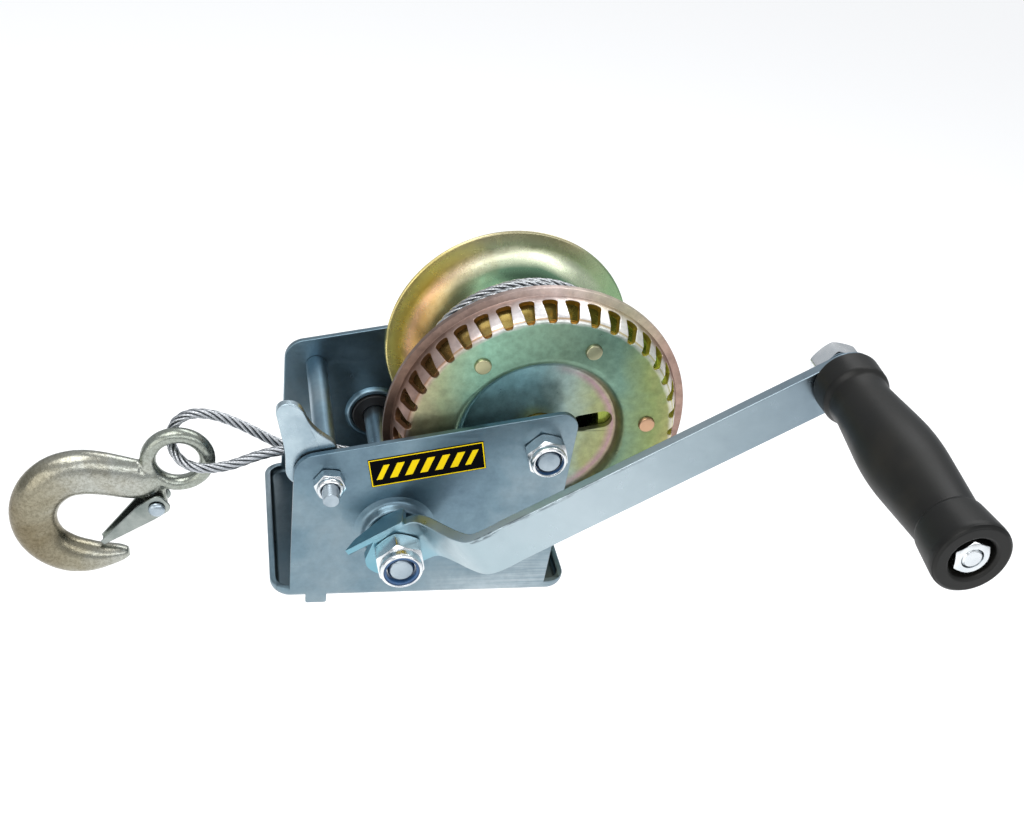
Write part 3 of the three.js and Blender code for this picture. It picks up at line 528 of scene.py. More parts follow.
def gear_film():
    """Yellow chromate on the gear: green face, slate to olive recess darkened at its left by painted shade,
    pink edge, teeth painted pale as a highlight, brown rim.
    """
    s = Shade("gear chromate", metallic=0.82)
    radius, across, y = s.round_drum()
    clouds = s.noise(24, 4, 0.55, twist=0.9)
    side = s.spread(s.plus(across, s.spread(clouds, 0.25, 0.75, -9, 9)), -72, 72)
    wavy = s.plus(radius, s.spread(s.noise(45, 4, 0.6), 0.3, 0.7, -0.9, 0.9))
    # The recess: chromate colours, with painted shade making its left darker.
    recess = s.ramp(side, [
        (0.20, (0.16, 0.34, 0.35)), (0.42, (0.28, 0.50, 0.54)), (0.56, (0.32, 0.44, 0.42)),
        (0.68, (0.30, 0.33, 0.17)), (0.85, (0.40, 0.34, 0.09)),
    ])
    pink = s.minus(1.0, s.calc("DIVIDE", s.size(s.minus(wavy, 35.5)), 3.2), clamp=True)
    pink = s.times(pink, s.spread(side, 0.50, 0.66, 0.0, 0.75))
    recess = s.mix(pink, recess, (0.40, 0.22, 0.30))
    face = s.ramp(side, [
        (0.02, (0.44, 0.34, 0.20)), (0.14, (0.33, 0.38, 0.22)), (0.28, (0.25, 0.45, 0.33)),
        (0.50, (0.20, 0.31, 0.22)), (0.70, (0.15, 0.26, 0.20)), (0.84, (0.22, 0.28, 0.11)),
        (0.97, (0.44, 0.36, 0.14)),
    ])
    # Painted highlight: the teeth are painted pale, near white.
    teeth = s.ramp(side, [
        (0.05, (0.34, 0.22, 0.18)), (0.25, (0.60, 0.50, 0.47)), (0.42, (0.86, 0.84, 0.85)),
        (0.86, (0.86, 0.86, 0.78)), (0.98, (0.46, 0.33, 0.25)),
    ])
    rim = s.ramp(side, [
        (0.05, (0.19, 0.12, 0.09)), (0.30, (0.34, 0.25, 0.22)), (0.52, (0.66, 0.54, 0.50)),
        (0.74, (0.60, 0.54, 0.38)), (0.90, (0.44, 0.31, 0.25)), (1.0, (0.30, 0.19, 0.16)),
    ])
    wall = s.ramp(side, [(0.1, (0.26, 0.14, 0.07)), (0.5, (0.56, 0.29, 0.04)), (0.9, (0.48, 0.46, 0.07))])
    color = s.mix(s.spread(wavy, 38.5, 41.0), recess, face)
    color = s.mix(s.spread(wavy, 61.8, 64.2), color, teeth)
    color = s.mix(s.spread(wavy, 67.0, 68.8), color, rim)
    front = s.plus(65.0, s.times(s.plus(y, 40.7), 0.377))
    behind = s.times(s.spread(s.minus(front, radius), 0.25, 0.5), s.spread(y, -41.2, -40.6))
    behind = s.times(behind, s.spread(radius, 61.0, 61.6))
    mottle = s.grey(s.spread(s.noise(260, 5, 0.7), 0.3, 0.7, 0.74, 1.12))
    return s.metal(s.mix(1.0, s.mix(behind, color, wall), mottle, "MULTIPLY"), 0.27, 0.42)


def drum_film():
    """Yellow chromate on the drum: rings of green, pale yellow and olive, turning gold to the front, with
    painted highlights in the pale and gold bands, painted shade near the hub and a skirt darkened by painted
    shade.
    """
    s = Shade("drum chromate", metallic=0.72)
    radius, across, y = s.round_drum()
    wander = s.noise(26, 4, 0.6, twist=0.7)
    share = s.spread(s.plus(radius, s.spread(wander, 0.25, 0.75, -1.1, 1.1)), 42, 64)
    # Rings above: chromate colours, dark near the hub as painted shade, with a pale band that is a painted
    # highlight.
    above = s.ramp(share, [
        (0.06, (0.06, 0.12, 0.07)), (0.20, (0.14, 0.26, 0.16)), (0.32, (0.66, 0.74, 0.52)),
        (0.54, (0.84, 0.88, 0.66)), (0.70, (0.42, 0.48, 0.28)), (1.0, (0.46, 0.42, 0.26)),
    ])
    # Rings to the front: gold chromate, dark near the hub as painted shade, with a bright outer band that is
    # a painted highlight.
    ahead = s.ramp(share, [
        (0.10, (0.14, 0.10, 0.03)), (0.34, (0.55, 0.33, 0.11)), (0.50, (0.90, 0.52, 0.26)),
        (0.66, (1.0, 0.72, 0.13)), (0.84, (1.0, 0.88, 0.22)), (1.0, (0.74, 0.62, 0.26)),
    ])
    side = s.plus(across, s.spread(wander, 0.25, 0.75, -12, 12))
    flange = s.mix(s.spread(side, -46, -12), ahead, above)
    right = s.times(s.spread(side, 26, 52), s.spread(radius, 40, 43))
    flange = s.mix(right, flange, (0.24, 0.38, 0.20))
    # The skirt seen through the gear's windows: chromate colours darkened as painted shade.
    skirt = s.ramp(s.spread(side, -70, 70), [
        (0.1, (0.26, 0.17, 0.06)), (0.5, (0.27, 0.22, 0.05)), (0.9, (0.30, 0.46, 0.07)),
    ])
    return s.metal(s.mix(s.spread(y, -22, -20), skirt, flange), 0.20, 0.32)


def rivet_film():
    """Yellow chromate on the rivets, pinker towards the back of the drum."""
    s = Shade("rivet chromate", metallic=1.0)
    _, across, _ = s.round_drum()
    return s.metal(
        s.ramp(s.spread(across, -50, 50), [
            (0.2, (0.42, 0.40, 0.24)), (0.7, (0.34, 0.34, 0.22)), (0.9, (0.52, 0.32, 0.20)),
        ]),
        0.28, 0.42,
    )


def rope_steel():
    """Galvanised wires: painted shade in the grooves between the strands, and fine wires lying along each
    strand.
    """
    s = Shade("rope steel", metallic=1.0, roughness=0.32)
    uv = s.node("ShaderNodeUVMap", uv_map="run").outputs["UV"]
    parts = s.node("ShaderNodeSeparateXYZ", {"Vector": uv}).outputs
    strand = s.times(parts["X"], 6.0)
    off_crown = s.times(s.size(s.minus(s.calc("FRACT", strand), 0.5)), 2.0)
    slant = s.minus(strand, s.times(parts["Y"], 1.9))
    wires = s.calc("SINE", s.times(slant, 3 * TAU))
    grime = s.noise(240, 4, 0.65)
    tone = s.plus(s.spread(wires, -1, 1, 0.0, 0.25), s.spread(grime, 0.3, 0.7, 0.0, 0.25))
    # Painted shade: darker from each strand's crown into the grooves between strands.
    tone = s.plus(tone, s.spread(off_crown, 0.35, 0.95, 0.5, 0.0))
    s.set(
        "Base Color",
        s.ramp(tone, [(0.08, (0.05, 0.055, 0.06)), (0.45, (0.27, 0.29, 0.31)), (0.9, (0.56, 0.58, 0.61))]),
    )
    s.set("Normal", s.bump(wires, 0.05, 0.5))
    return s.material


def grip_plastic():
    """Black moulded plastic, slightly brown where it is rubbed, with a fine matt grain."""
    s = Shade("grip plastic")
    rub = s.noise(30, 3, 0.55)
    s.set(
        "Base Color",
        s.ramp(rub, [
            (0.3, (0.004, 0.0045, 0.0045)), (0.6, (0.008, 0.008, 0.007)), (0.8, (0.018, 0.016, 0.012)),
        ]),
    )
    s.set("Specular IOR Level", 0.26)
    s.set("Roughness", s.spread(rub, 0.3, 0.75, 0.36, 0.52))
    s.set("Normal", s.bump(s.noise(1900, 3, 0.6), 0.03, 0.5))
    return s.material


def forged_zinc():
    """Pale gold zinc over a grainy forging, browner round the bend and darkened there by painted shade,
    greyer towards the eye.
    """
    s = Shade("forged zinc", metallic=1.0)
    x, _, _ = s.millimetres()
    grain, dents = s.noise(620, 5, 0.75), s.noise(110, 4, 0.6)
    hue = s.noise(30, 3, 0.55, twist=0.8)
    place = s.plus(x, s.spread(hue, 0.3, 0.7, -14, 14))
    # Browner round the bend, with painted shade making it darkest at the bend's far side.
    tint = s.ramp(s.spread(place, -195, -115), [
        (0.05, (0.20, 0.17, 0.11)), (0.30, (0.30, 0.28, 0.21)), (0.60, (0.43, 0.44, 0.40)),
        (0.90, (0.34, 0.37, 0.33)),
    ])
    pits = s.ramp(grain, [(0.36, (0.66, 0.65, 0.62)), (0.58, (1.0, 1.0, 1.0))])
    s.set("Base Color", s.mix(1.0, tint, pits, "MULTIPLY"))
    s.set("Roughness", s.spread(grain, 0.3, 0.7, 0.34, 0.20))
    s.set("Normal", s.bump(grain, 0.12, 0.6, s.bump(dents, 0.5, 0.6)))
    return s.material


def plain_metal(name, dark, light, roughness):
    s = Shade(name, metallic=1.0)
    return s.metal(
        s.ramp(s.noise(60, 4, 0.6), [(0.3, dark), (0.7, light)]), roughness - 0.04, roughness + 0.06,
    )


def nylon(name, color, roughness):
    s = Shade(name, roughness=roughness)
    deep = tuple(c * 0.6 for c in color)
    s.set("Base Color", s.ramp(s.noise(200, 3), [(0.3, deep), (0.7, color)]))
    s.set("Normal", s.bump(s.noise(700, 3), 0.02, 0.3))
    return s.material


ZINC = zinc_sheet()
ARM_ZINC = arm_zinc()
BRIGHT = bright_zinc()
GEAR_FILM = gear_film()
DRUM_FILM = drum_film()
RIVET_FILM = rivet_film()
PAWL_ZINC = plain_metal("pawl zinc", (0.27, 0.36, 0.42), (0.46, 0.56, 0.61), 0.28)
SHAFT_ZINC = plain_metal("shaft zinc", (0.24, 0.30, 0.35), (0.42, 0.49, 0.54), 0.30)
LATCH_ZINC = plain_metal("latch zinc", (0.16, 0.19, 0.18), (0.36, 0.39, 0.37), 0.24)
ROPE = rope_steel()
BLACK = grip_plastic()
FORGED = forged_zinc()
SLEEVE = plain_metal("sleeve metal", (0.42, 0.42, 0.41), (0.62, 0.62, 0.60), 0.42)
BUSH = nylon("bush plastic", (0.012, 0.012, 0.013), 0.45)
BLUE = nylon("blue nylon", (0.03, 0.10, 0.24), 0.38)


def done(obj, material, body, slot, *nodes):
    """Gives a piece its material and body, and hides the CAD nodes it stands for. The slot argument is not
    used.
    """
    obj.data.materials.clear()
    obj.data.materials.append(material)
    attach(obj, body)
    if nodes:
        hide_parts(*nodes)
    return obj


# ---------------------------------------------------------------- camera
def make_camera():
    """A 46 mm lens 622 mm from the winch, above it and a little to its left, rolled 8.3 degrees."""
    azimuth, elevation, roll = -0.263, 0.577, 0.145
    target = Vector((38.9, -27.5, 94.1)) * MM
    back = Vector((math.sin(azimuth) * math.cos(elevation), -math.cos(azimuth) * math.cos(elevation),
                   math.sin(elevation)))
    right = Vector((math.cos(azimuth), math.sin(azimuth), 0))
    up = back.cross(right)
    side = math.cos(roll) * right + math.sin(roll) * up
    top = back.cross(side)
    camera = bpy.data.objects.new("camera", bpy.data.cameras.new("camera"))
    distance = 0.622
    camera.data.lens, camera.data.sensor_width = 46.05, 36
    camera.matrix_world = Matrix.Translation(
        target + back * distance
    ) @ Matrix((side, top, back)).transposed().to_4x4()
    bpy.context.scene.collection.objects.link(camera)
    bpy.context.scene.camera = camera


make_camera()


# ---------------------------------------------------------------- rope's free end
ROPE_SECTION = strand_section(ROPE_RADIUS)
ROPE_LAY = 31


def run_points():
    """The free run, from the sleeve towards the underside of the winding."""
    start = Vector((SLEEVE_BACK + 0.9, SLEEVE_Z))
    drum = Vector(DRUM)
    distance = (drum - start).length
    slope = math.atan2(drum.y - start.y, drum.x - start.x) - math.asin(ROPE_LINE_RADIUS / distance)
    whole = math.sqrt(distance ** 2 - ROPE_LINE_RADIUS ** 2)
    buried = math.sqrt((WINDING_RADIUS + ROPE_RADIUS + WINDING_ROOM) ** 2 - ROPE_LINE_RADIUS ** 2)
    reach = whole - buried
    return [(start.x + reach * t * math.cos(slope), ROPE_Y, start.y + reach * t * math.sin(slope))
            for t in np.linspace(0, 1, 16)]


# x, distance from the hook's plane, z along the loop, from the sleeve round the eye and back
LOOP_POINTS = [
    (SLEEVE_FRONT - 1.2, 2.7, 58.2), (-71.2, 3.4, 60), (-81.2, 5, 65.2), (-91.1, 6.4, 69.8),
    (-100.8, 7.2, 73), (-110.6, 8, 72.6), (-117.2, 7.7, 68), (-119.4, 5.6, 61.9), (-118.8, 2.3, 58.4),
    (-117.2, -1.2, 56.3), (-113.8, -5, 54.2), (-108.8, -7.5, 53), (-100.9, -7.6, 52.2), (-91, -6.2, 53),
    (-81, -4.6, 56.2), (-71.1, -3.2, 58.4), (SLEEVE_FRONT - 1.2, -2.7, 58.6),
]


def metres(points):
    return [tuple(float(c) * MM for c in p) for p in points]


def length_of(path):
    return float(np.linalg.norm(np.diff(np.array(path), axis=0), axis=1).sum())


def make_rope_run():
    path = smooth_line(run_points(), 1.0)
    rope = done(tube("rope_run", path, ROPE_SECTION, ROPE_LAY), ROPE, "frame", "wire_rope", "cable_run")
    return rope, path


def make_rope_loop():
    path = smooth_line([(x, ROPE_Y + dy, z) for x, dy, z in LOOP_POINTS], 0.8)
    rope = done(tube("rope_loop", path, ROPE_SECTION, ROPE_LAY), ROPE, "frame", "wire_rope", "cable_loop")
    return rope, path


def make_sleeve():
    """A pressed oval sleeve with rounded ends, two shallow swages and the two ropes' holes filled."""
    rings = []
    half_width, half_height, count = 5.9, 3.7, 48
    length = SLEEVE_BACK - SLEEVE_FRONT
    for t in np.linspace(0, 1, 41):
        end = min(t, 1 - t) * length
        shrink = 0.8 - math.sqrt(max(0.64 - (0.8 - min(end, 0.8)) ** 2, 0))
        swage = 0.35 * sum(math.exp(-((t - at) / 0.09) ** 2) for at in (0.3, 0.7))
        ring = []
        for k in range(count):
            angle = k * TAU / count
            across = (half_width - shrink - swage * 0.5) * math.cos(angle)
            deep = (half_height - shrink - swage) * math.sin(angle)
            ring.append((SLEEVE_FRONT + t * length, ROPE_Y + across, SLEEVE_Z + deep))
        rings.append(ring)
    return done(make_object("rope_sleeve", *loft(rings)), SLEEVE, "frame", "pressed_sleeve", "cable_sleeve")


# ---------------------------------------------------------------- hook
# x, z, width in the hook's plane, thickness across it
HOOK_SECTIONS = [
    (-126.6, 44.2, 14.4, 8.5), (-133.3, 40.4, 21.4, 11), (-146.5, 43, 23, 13.5), (-159.8, 45, 24.2, 15),
    (-170.8, 42.4, 24, 15.6), (-179.6, 34.2, 23.2, 16), (-184, 22.7, 22.4, 16), (-183, 10.8, 21.8, 15.6),
    (-177.4, 1.4, 21.1, 15), (-168.2, -4.6, 20.3, 14), (-158.2, -6.2, 17, 12.6), (-151.6, -5.7, 12.8, 11.2),
    (-144.4, -4.6, 8.8, 8.6), (-140.4, -4, 4.8, 4.8),
]


def hook_bar():
    """The bent bar: smooth sections along its middle line, slightly flattened on its sides."""
    line = smooth_line([(x, width, z, thick) for x, z, width, thick in HOOK_SECTIONS], 2.0)
    rings = []
    for i, (x, width, z, thick) in enumerate(line):
        ahead, behind = line[min(i + 1, len(line) - 1)], line[max(i - 1, 0)]
        tangent = np.array([ahead[0] - behind[0], ahead[2] - behind[2]])
        tangent /= np.linalg.norm(tangent)
        ring = []
        for k in range(40):
            angle = k * TAU / 40
            across, deep = math.cos(angle) * width / 2, math.sin(angle) * thick / 2
            ring.append((x - tangent[1] * across, ROPE_Y + deep, z + tangent[0] * across))
        rings.append(ring)
    return make_object("hook_bar", *loft(rings))


def make_hook():
    """The bar, cleared for the latch's cheeks, and its eye, lug and web grown together as one forging."""
    bar = hook_bar()
    cheek_room = [
        turned(
            f"room_{side}", LATCH_PIVOT,
            [
                (0, ROPE_Y + side * 2.6), (7.6, ROPE_Y + side * 2.6), (7.6, ROPE_Y + side * 12),
                (0, ROPE_Y + side * 12),
            ],
            40,
        )
        for side in (-1, 1)
    ]
    cut_by(bar, cheek_room)
    bar_line = [
        (EYE_RADIUS + EYE_BAR * math.cos(a), ROPE_Y + EYE_BAR * math.sin(a))
        for a in np.linspace(0, TAU, 25)[:-1]
    ]
    eye = revolve("eye", EYE, bar_line, 64)
    x, z = LATCH_PIVOT
    lug = turned(
        "lug", LATCH_PIVOT,
        [(0, ROPE_Y - 2.6), (5.2, ROPE_Y - 2.6, 0.5), (5.2, ROPE_Y + 2.6, 0.5), (0, ROPE_Y + 2.6)], 40,
    )
    web = pressed("web", [rounded([(x - 4, z - 3), (x + 5, z - 1), (x + 3.5, z + 13), (x - 9, z + 12)])],
                  ROPE_Y - 2.6, ROPE_Y + 2.6, upright)
    hook = joined("hook_forging", [bar, eye, lug, web])
    remesh = hook.modifiers.new("one skin", "REMESH")
    remesh.mode, remesh.voxel_size, remesh.use_smooth_shade = "VOXEL", 0.75 * MM, True
    blend = hook.modifiers.new("blend", "SMOOTH")
    blend.factor, blend.iterations = 0.5, 6
    evaluated(hook, 180)
    return done(hook, FORGED, "hook", "forged_zinc", "hook")


def make_latch():
    """Folded sheet latch: two cheeks on the pin and a back between them."""
    length, cheek, sheet = 35, 4.7, 1.2
    outline = rounded([(-6.2, -6.2, 3.5), (6, -6.6, 2), (length, -1, 0.3), (length, 1.6, 0.5), (5, 4.6, 3),
                       (-6.2, 4.8, 3.5)])
    heading = math.atan2(-23.9, -28)

    def place(u, v, w):
        narrow = 1 - 0.5 * min(max(u / length, 0), 1)
        return (LATCH_PIVOT[0] + u * math.cos(heading) - v * math.sin(heading), ROPE_Y + w * narrow,
                LATCH_PIVOT[1] + u * math.sin(heading) + v * math.cos(heading))

    sides = [pressed(f"cheek_{k}", [outline], low, low + sheet, place, 0.3)
             for k, low in enumerate((-cheek - sheet, cheek))]
    back = rounded([(6, 3.3), (length - 2, 0.4), (length, 0.2), (length, 1.6, 0.5), (6, 4.5)])
    spine = pressed("spine", [back], -cheek - 0.5, cheek + 0.5, place, 0.2)
    latch = joined("hook_latch_sheet", [*sides, spine])
    return done(even_normals(latch), LATCH_ZINC, "latch", "zinc_sheet", "hook_latch")


def make_latch_pin():
    half = 6.3
    side = [(0, ROPE_Y - half - 1.9), (2.6, ROPE_Y - half - 1.7, 1.2), (4, ROPE_Y - half - 0.5, 0.4),
            (4, ROPE_Y - half), (2, ROPE_Y - half), (2, ROPE_Y + half), (4, ROPE_Y + half),
            (4, ROPE_Y + half + 0.5, 0.4), (2.6, ROPE_Y + half + 1.7, 1.2), (0, ROPE_Y + half + 1.9)]
    pin = turned("latch_rivet", LATCH_PIVOT, side, 40, smooth=50)
    spring = coil("latch_coil", LATCH_PIVOT, 3.0, 0.7, ROPE_Y + 2.95, ROPE_Y + 4.35, 1.8)
    done(spring, BRIGHT, "hook", "bright_zinc", "latch_spring")
    return done(pin, SHAFT_ZINC, "hook", "bright_zinc", "latch_pin"), spring


run, run_path = make_rope_run()
rope_loop, loop_path = make_rope_loop()
sleeve = make_sleeve()
hook = make_hook()
latch = make_latch()
pin, pin_spring = make_latch_pin()
metres([run_path[0]])[0]
length_of(run_path) * MM
metres(run_path)
metres([loop_path[0]])[0]
length_of(loop_path) * MM
metres(loop_path)


# ---------------------------------------------------------------- frame
def make_base():
    """The base pan: a rounded rectangle drawn up at its rim, with three mounting slots."""
    outer_bend, inner_bend, sheet = 5, 2, 3
    profile = [
        (outer_bend * (1 - math.sin(a)), outer_bend * (1 - math.cos(a)))
        for a in np.linspace(0, math.pi / 2, 7)
    ]
    profile += [(0, 5.9), (0.18, 6.32), (0.6, RIM_HEIGHT), (2.4, RIM_HEIGHT), (2.82, 6.32), (3, 5.9)]
    profile += [(outer_bend - inner_bend * math.cos(a), outer_bend - inner_bend * math.sin(a))
                for a in np.linspace(0, math.pi / 2, 5)]
    rings = []
    for inset, z in profile:
        x, y, corner = BASE_HALF - inset, PLATE_OUT - 0.03 - inset, 10 - inset
        outline = rounded([(-x, -y, corner), (x, -y, corner), (x, y, corner), (-x, y, corner)], 10)
        rings.append([(p.x, p.y, z) for p in outline])
    base = make_object("base", *loft(rings))
    slots = []
    places = ((-45, 0, 40, False), (45, -27, 24, True), (45, 27, 24, True))
    for k, (x, y, length, along_x) in enumerate(places):
        half_long, half_wide = length / 2, 5.25
        u, v = (half_long, half_wide) if along_x else (half_wide, half_long)
        outline = rounded([(x - u, y - v, half_wide), (x + u, y - v, half_wide), (x + u, y + v, half_wide),
                           (x - u, y + v, half_wide)], 10)
        rings = [[(p.x, p.y, z) for p in outline] for z in (-2, sheet + 2)]
        slots.append(make_object(f"slot_{k}", *loft(rings)))
    return cut_by(base, slots)


def side_plate(name, y0, y1):
    outline = rounded([(PLATE_FRONT, 4.4), (PLATE_BACK_LOW + 0.2, 4.4), (PLATE_BACK_HIGH, PLATE_TOP_BACK, 10),
                       (PLATE_FRONT, PLATE_TOP_FRONT, 9)], 12)
    return pressed(name, [outline], y0, y1, upright, 0.45, 3)


def make_frame():
    """Base, two side plates, the drawn collars round the crank shaft's holes and the locating tabs."""
    near = side_plate("near_plate", -PLATE_OUT, -PLATE_IN)
    far = side_plate("far_plate", PLATE_IN, PLATE_OUT)
    boss = turned("boss", DRIVE, [(8.3, -50), (19.5, -50), (19.5, -PLATE_OUT - 0.02), (16.2, -52.4, 1.4),
                                  (14.4, -56.0, 1.1), (8.3, -56.0, 0.5)], 96, 6)
    collar = turned(
        "collar", DRIVE, [(12.2, 46.1, 0.4), (14.2, 46.1, 0.8), (15.6, 48.6), (15.6, 50), (12.2, 50)], 96,
    )
    tabs = [
        pressed(
            f"tab_{side}",
            [rounded([(-56.2, -TAB_DEPTH, 1), (-46.2, -TAB_DEPTH, 1), (-46.2, 6), (-56.2, 6)])],
            min(side * PLATE_IN, side * (PLATE_OUT - 0.05)),
            max(side * PLATE_IN, side * (PLATE_OUT - 0.05)), upright, 0.3,
        )
        for side in (-1, 1)
    ]
    whole = joined("frame_sheet", [make_base(), near, far, boss, collar, *tabs])
    return done(even_normals(whole), ZINC, "frame", "zinc_sheet", "frame_stamping")


make_frame()


def label_film():
    """A printed film: black, a thin yellow line inside its edge and a band of plain slanted bars."""
    s = Shade("label film", roughness=0.55)
    s.set("Specular IOR Level", 0.0)
    turn = s.node(
        "ShaderNodeVectorRotate",
        {"Vector": s.place, "Center": (LABEL[0] * MM, 0, LABEL[1] * MM), "Angle": TOP_SLOPE},
        rotation_type="Y_AXIS",
    ).outputs["Vector"]
    parts = s.node("ShaderNodeSeparateXYZ", {"Vector": turn}).outputs
    along = s.times(s.minus(parts["X"], LABEL[0] * MM), 1 / MM)
    high = s.times(s.minus(parts["Z"], LABEL[1] * MM), 1 / MM)
    inside_x = s.minus(LABEL_HALF_LONG, s.size(along))
    inside_z = s.minus(LABEL_HALF_HIGH, s.size(high))
    margin = s.calc("MINIMUM", inside_x, inside_z)
    line = s.times(s.calc("GREATER_THAN", margin, 0.25), s.calc("LESS_THAN", margin, 0.75))
    leaning = s.minus(along, s.times(high, 0.55))
    slant = s.calc("FRACT", s.calc("DIVIDE", s.plus(leaning, 1.75), 7.0))
    bars = s.times(s.calc("LESS_THAN", s.size(high), 3.9), s.calc("LESS_THAN", slant, 0.5))
    bars = s.times(bars, s.calc("LESS_THAN", s.size(leaning), 22.0))
    ink = s.calc("MAXIMUM", line, bars)
    s.set("Base Color", s.mix(ink, (0.004, 0.004, 0.005), (0.85, 0.62, 0.01)))
    return s.material


def make_label():
    def place(u, v, w):
        return (LABEL[0] + u * math.cos(TOP_SLOPE) - v * math.sin(TOP_SLOPE), w,
                LABEL[1] + u * math.sin(TOP_SLOPE) + v * math.cos(TOP_SLOPE))

    u, v = LABEL_HALF_LONG, LABEL_HALF_HIGH
    corners = rounded([(-u, -v, 0.4), (u, -v, 0.4), (u, v, 0.4), (-u, v, 0.4)], 4)
    label = pressed("label_sheet", [corners], -PLATE_OUT - 0.3, -PLATE_OUT + 0.1, place, 0.08, 1)
    return done(label, label_film(), "frame", "sticker", "label")


make_label()


# ---------------------------------------------------------------- fasteners
def hexagon_radius(flats, turn, soft=26):
    """Distance to the side of a hexagon with slightly rounded corners, as a function of the angle."""

    def radius(angle):
        local = (angle + turn) % (TAU / 6) - TAU / 12
        flat = flats / 2 / math.cos(local)
        return (flat ** -soft + (flats / math.sqrt(3)) ** -soft * 0.8) ** (-1 / soft)

    return radius


def hexagon_rings(flats, y0, y1, turn, bore):
    """Rings of a hexagon chamfered at both faces; y0 and y1 are its faces in order."""
    radius = hexagon_radius(flats, turn)
    way = 1 if y1 > y0 else -1
    flat_face = flats * 0.475

    def chamfer(angle):
        return max(radius(angle) - flats * 0.492, 0) * 0.6 + 0.12

    return [(bore, y0), (flat_face, y0), (radius, lambda a: y0 + way * chamfer(a)),
            (radius, lambda a: y1 - way * chamfer(a)), (flat_face, y1), (bore, y1)]


def make_lock_nut(name, axis, flats, height, bore, seat, turn, body, nodes):
    """A lock nut standing on seat towards -Y: hexagon, rolled collar and the blue nylon ring inside it."""
    top, collar = seat - height, flats * 0.47
    hexagon = hexagon_rings(flats, seat, seat - height * 0.68, turn, bore + GAP)
    crown = [
        (collar, seat - height * 0.68), (collar, top + 1.5), (collar - 0.15, top + 0.8),
        (collar - 0.55, top + 0.25), (collar - 1.1, top), (collar - 1.55, top + 0.12),
        (collar - 1.75, top + 0.5), (collar - 1.75, top + height * 0.22), (bore + GAP, top + height * 0.22),
    ]
    nut = revolve(name, axis, hexagon[:-1] + crown, 120, 32)
    done(even_normals(nut), BRIGHT, body, "bright_zinc", nodes[0])
    outer = collar - 1.8
    ring = turned(
        name + "_nylon", axis,
        [
            (bore + 0.9, top + 0.55, 0.25), (outer, top + 0.55, 0.2), (outer, top + height * 0.22 + 0.3),
            (bore + 0.9, top + height * 0.22 + 0.3),
        ],
        72,
    )
    done(ring, BLUE, body, "blue_nylon", nodes[1])


def threaded(name, axis, radius, y_end, y_start, pitch):
    """A stretch of screw thread from the chamfered end at y_end towards y_start."""
    way = 1 if y_start > y_end else -1
    segments, deep = 48, pitch * 0.55
    steps = int(abs(y_start - y_end) / pitch * 10)
    rings = [(0.01, y_end), (radius - deep - 0.35, y_end)]
    for k in range(steps + 1):
        along = k / steps * abs(y_start - y_end)

        def groove(angle, along=along):
            phase = (along / pitch - angle / TAU) % 1
            return min(radius - deep * (1 - abs(2 * phase - 1)), radius - deep + along * 0.9)

        rings.append((groove, y_end + way * along))
    rings.append((0.01, y_start))
    return revolve(name, axis, rings, segments, 60)


def make_bolt(name, axis, radius, flats, end, seat, head, pitch, body, node, thread=14):
    """A bolt along Y: chamfered threaded end at -Y, plain shank and a hexagon head at +Y."""
    shank = turned(
        name + "_shank", axis,
        [
            (0, end + 2), (radius * 0.86, end + 2), (radius * 0.86, end + thread),
            (radius, end + thread + 0.6), (radius, seat + 0.5), (0, seat + 0.5),
        ],
        48,
    )
    screw = threaded(name + "_thread", axis, radius, end, end + thread, pitch)
    cap = revolve(name + "_head", axis, hexagon_rings(flats, seat, seat + head, 0.2, 0.02), 120, 32)
    bolt = joined(name, [shank, screw, cap])
    return done(even_normals(bolt), SHAFT_ZINC, body, "bright_zinc", node)


make_bolt("drum_bolt", DRUM, 6, 18, -61.2, PLATE_OUT + GAP, 7.5, 1.75, "frame", "drum_axle_bolt")
make_lock_nut(
    "drum_nut", DRUM, 18, 10.4, 6, -PLATE_OUT - GAP, 0.25, "frame", ("drum_axle_nut", "drum_axle_nut_ring"),
)
make_bolt("tie_rod", TIE, 4, 13, -66.8, PLATE_OUT + GAP, 5.3, 1.25, "frame", "tie_bolt", 20)
make_lock_nut("tie_rod_nut", TIE, 13, 8, 4, -PLATE_OUT - GAP, 0.1, "frame", ("tie_nut", "tie_nut_ring"))


def make_plain_rings():
    """Spacers and bushes: turned rings with broken edges."""
    kinds = {"zinc_sheet": ZINC, "black_plastic": BUSH, "yellow_zinc": DRUM_FILM}
    for node, axis, inner, outer, y0, y1, slot, body in (
        ("near_axle_spacer", DRUM, 6.3, 10, -48.2, -42.6, "zinc_sheet", "frame"),
        ("far_axle_spacer", DRUM, 6.3, 10, 40.6, 48.2, "zinc_sheet", "frame"),
        ("tie_spacer_tube", TIE, 4.3, 5.2, -42.9, 48.2, "zinc_sheet", "frame"),
        ("near_shaft_bush", DRIVE, 6.3, 8, -56.5, -47.2, "zinc_sheet", "frame"),
        ("far_shaft_bush", DRIVE, 6.3, 11.8, 44.6, 55, "black_plastic", "frame"),
        ("hub_tube", DRUM, 6.3, 10, -42.3, 40.3, "yellow_zinc", "drum"),
        ("hub_end_plate", DRUM, 10.3, 29.7, 7.5, 10, "yellow_zinc", "drum"),
    ):
        soft = min(0.5, (outer - inner) * 0.3)
        ring = turned(
            node + "_turned", axis,
            [(inner, y0, soft), (outer, y0, soft), (outer, y1, soft), (inner, y1, soft)], 72,
        )
        done(even_normals(ring), kinds[slot], body, slot, node)


make_plain_rings()
done(coil("pawl_coil", TIE, 6.6, 1.6, -41.8, -36.2, 3.2), BRIGHT, "frame", "bright_zinc", "pawl_spring")


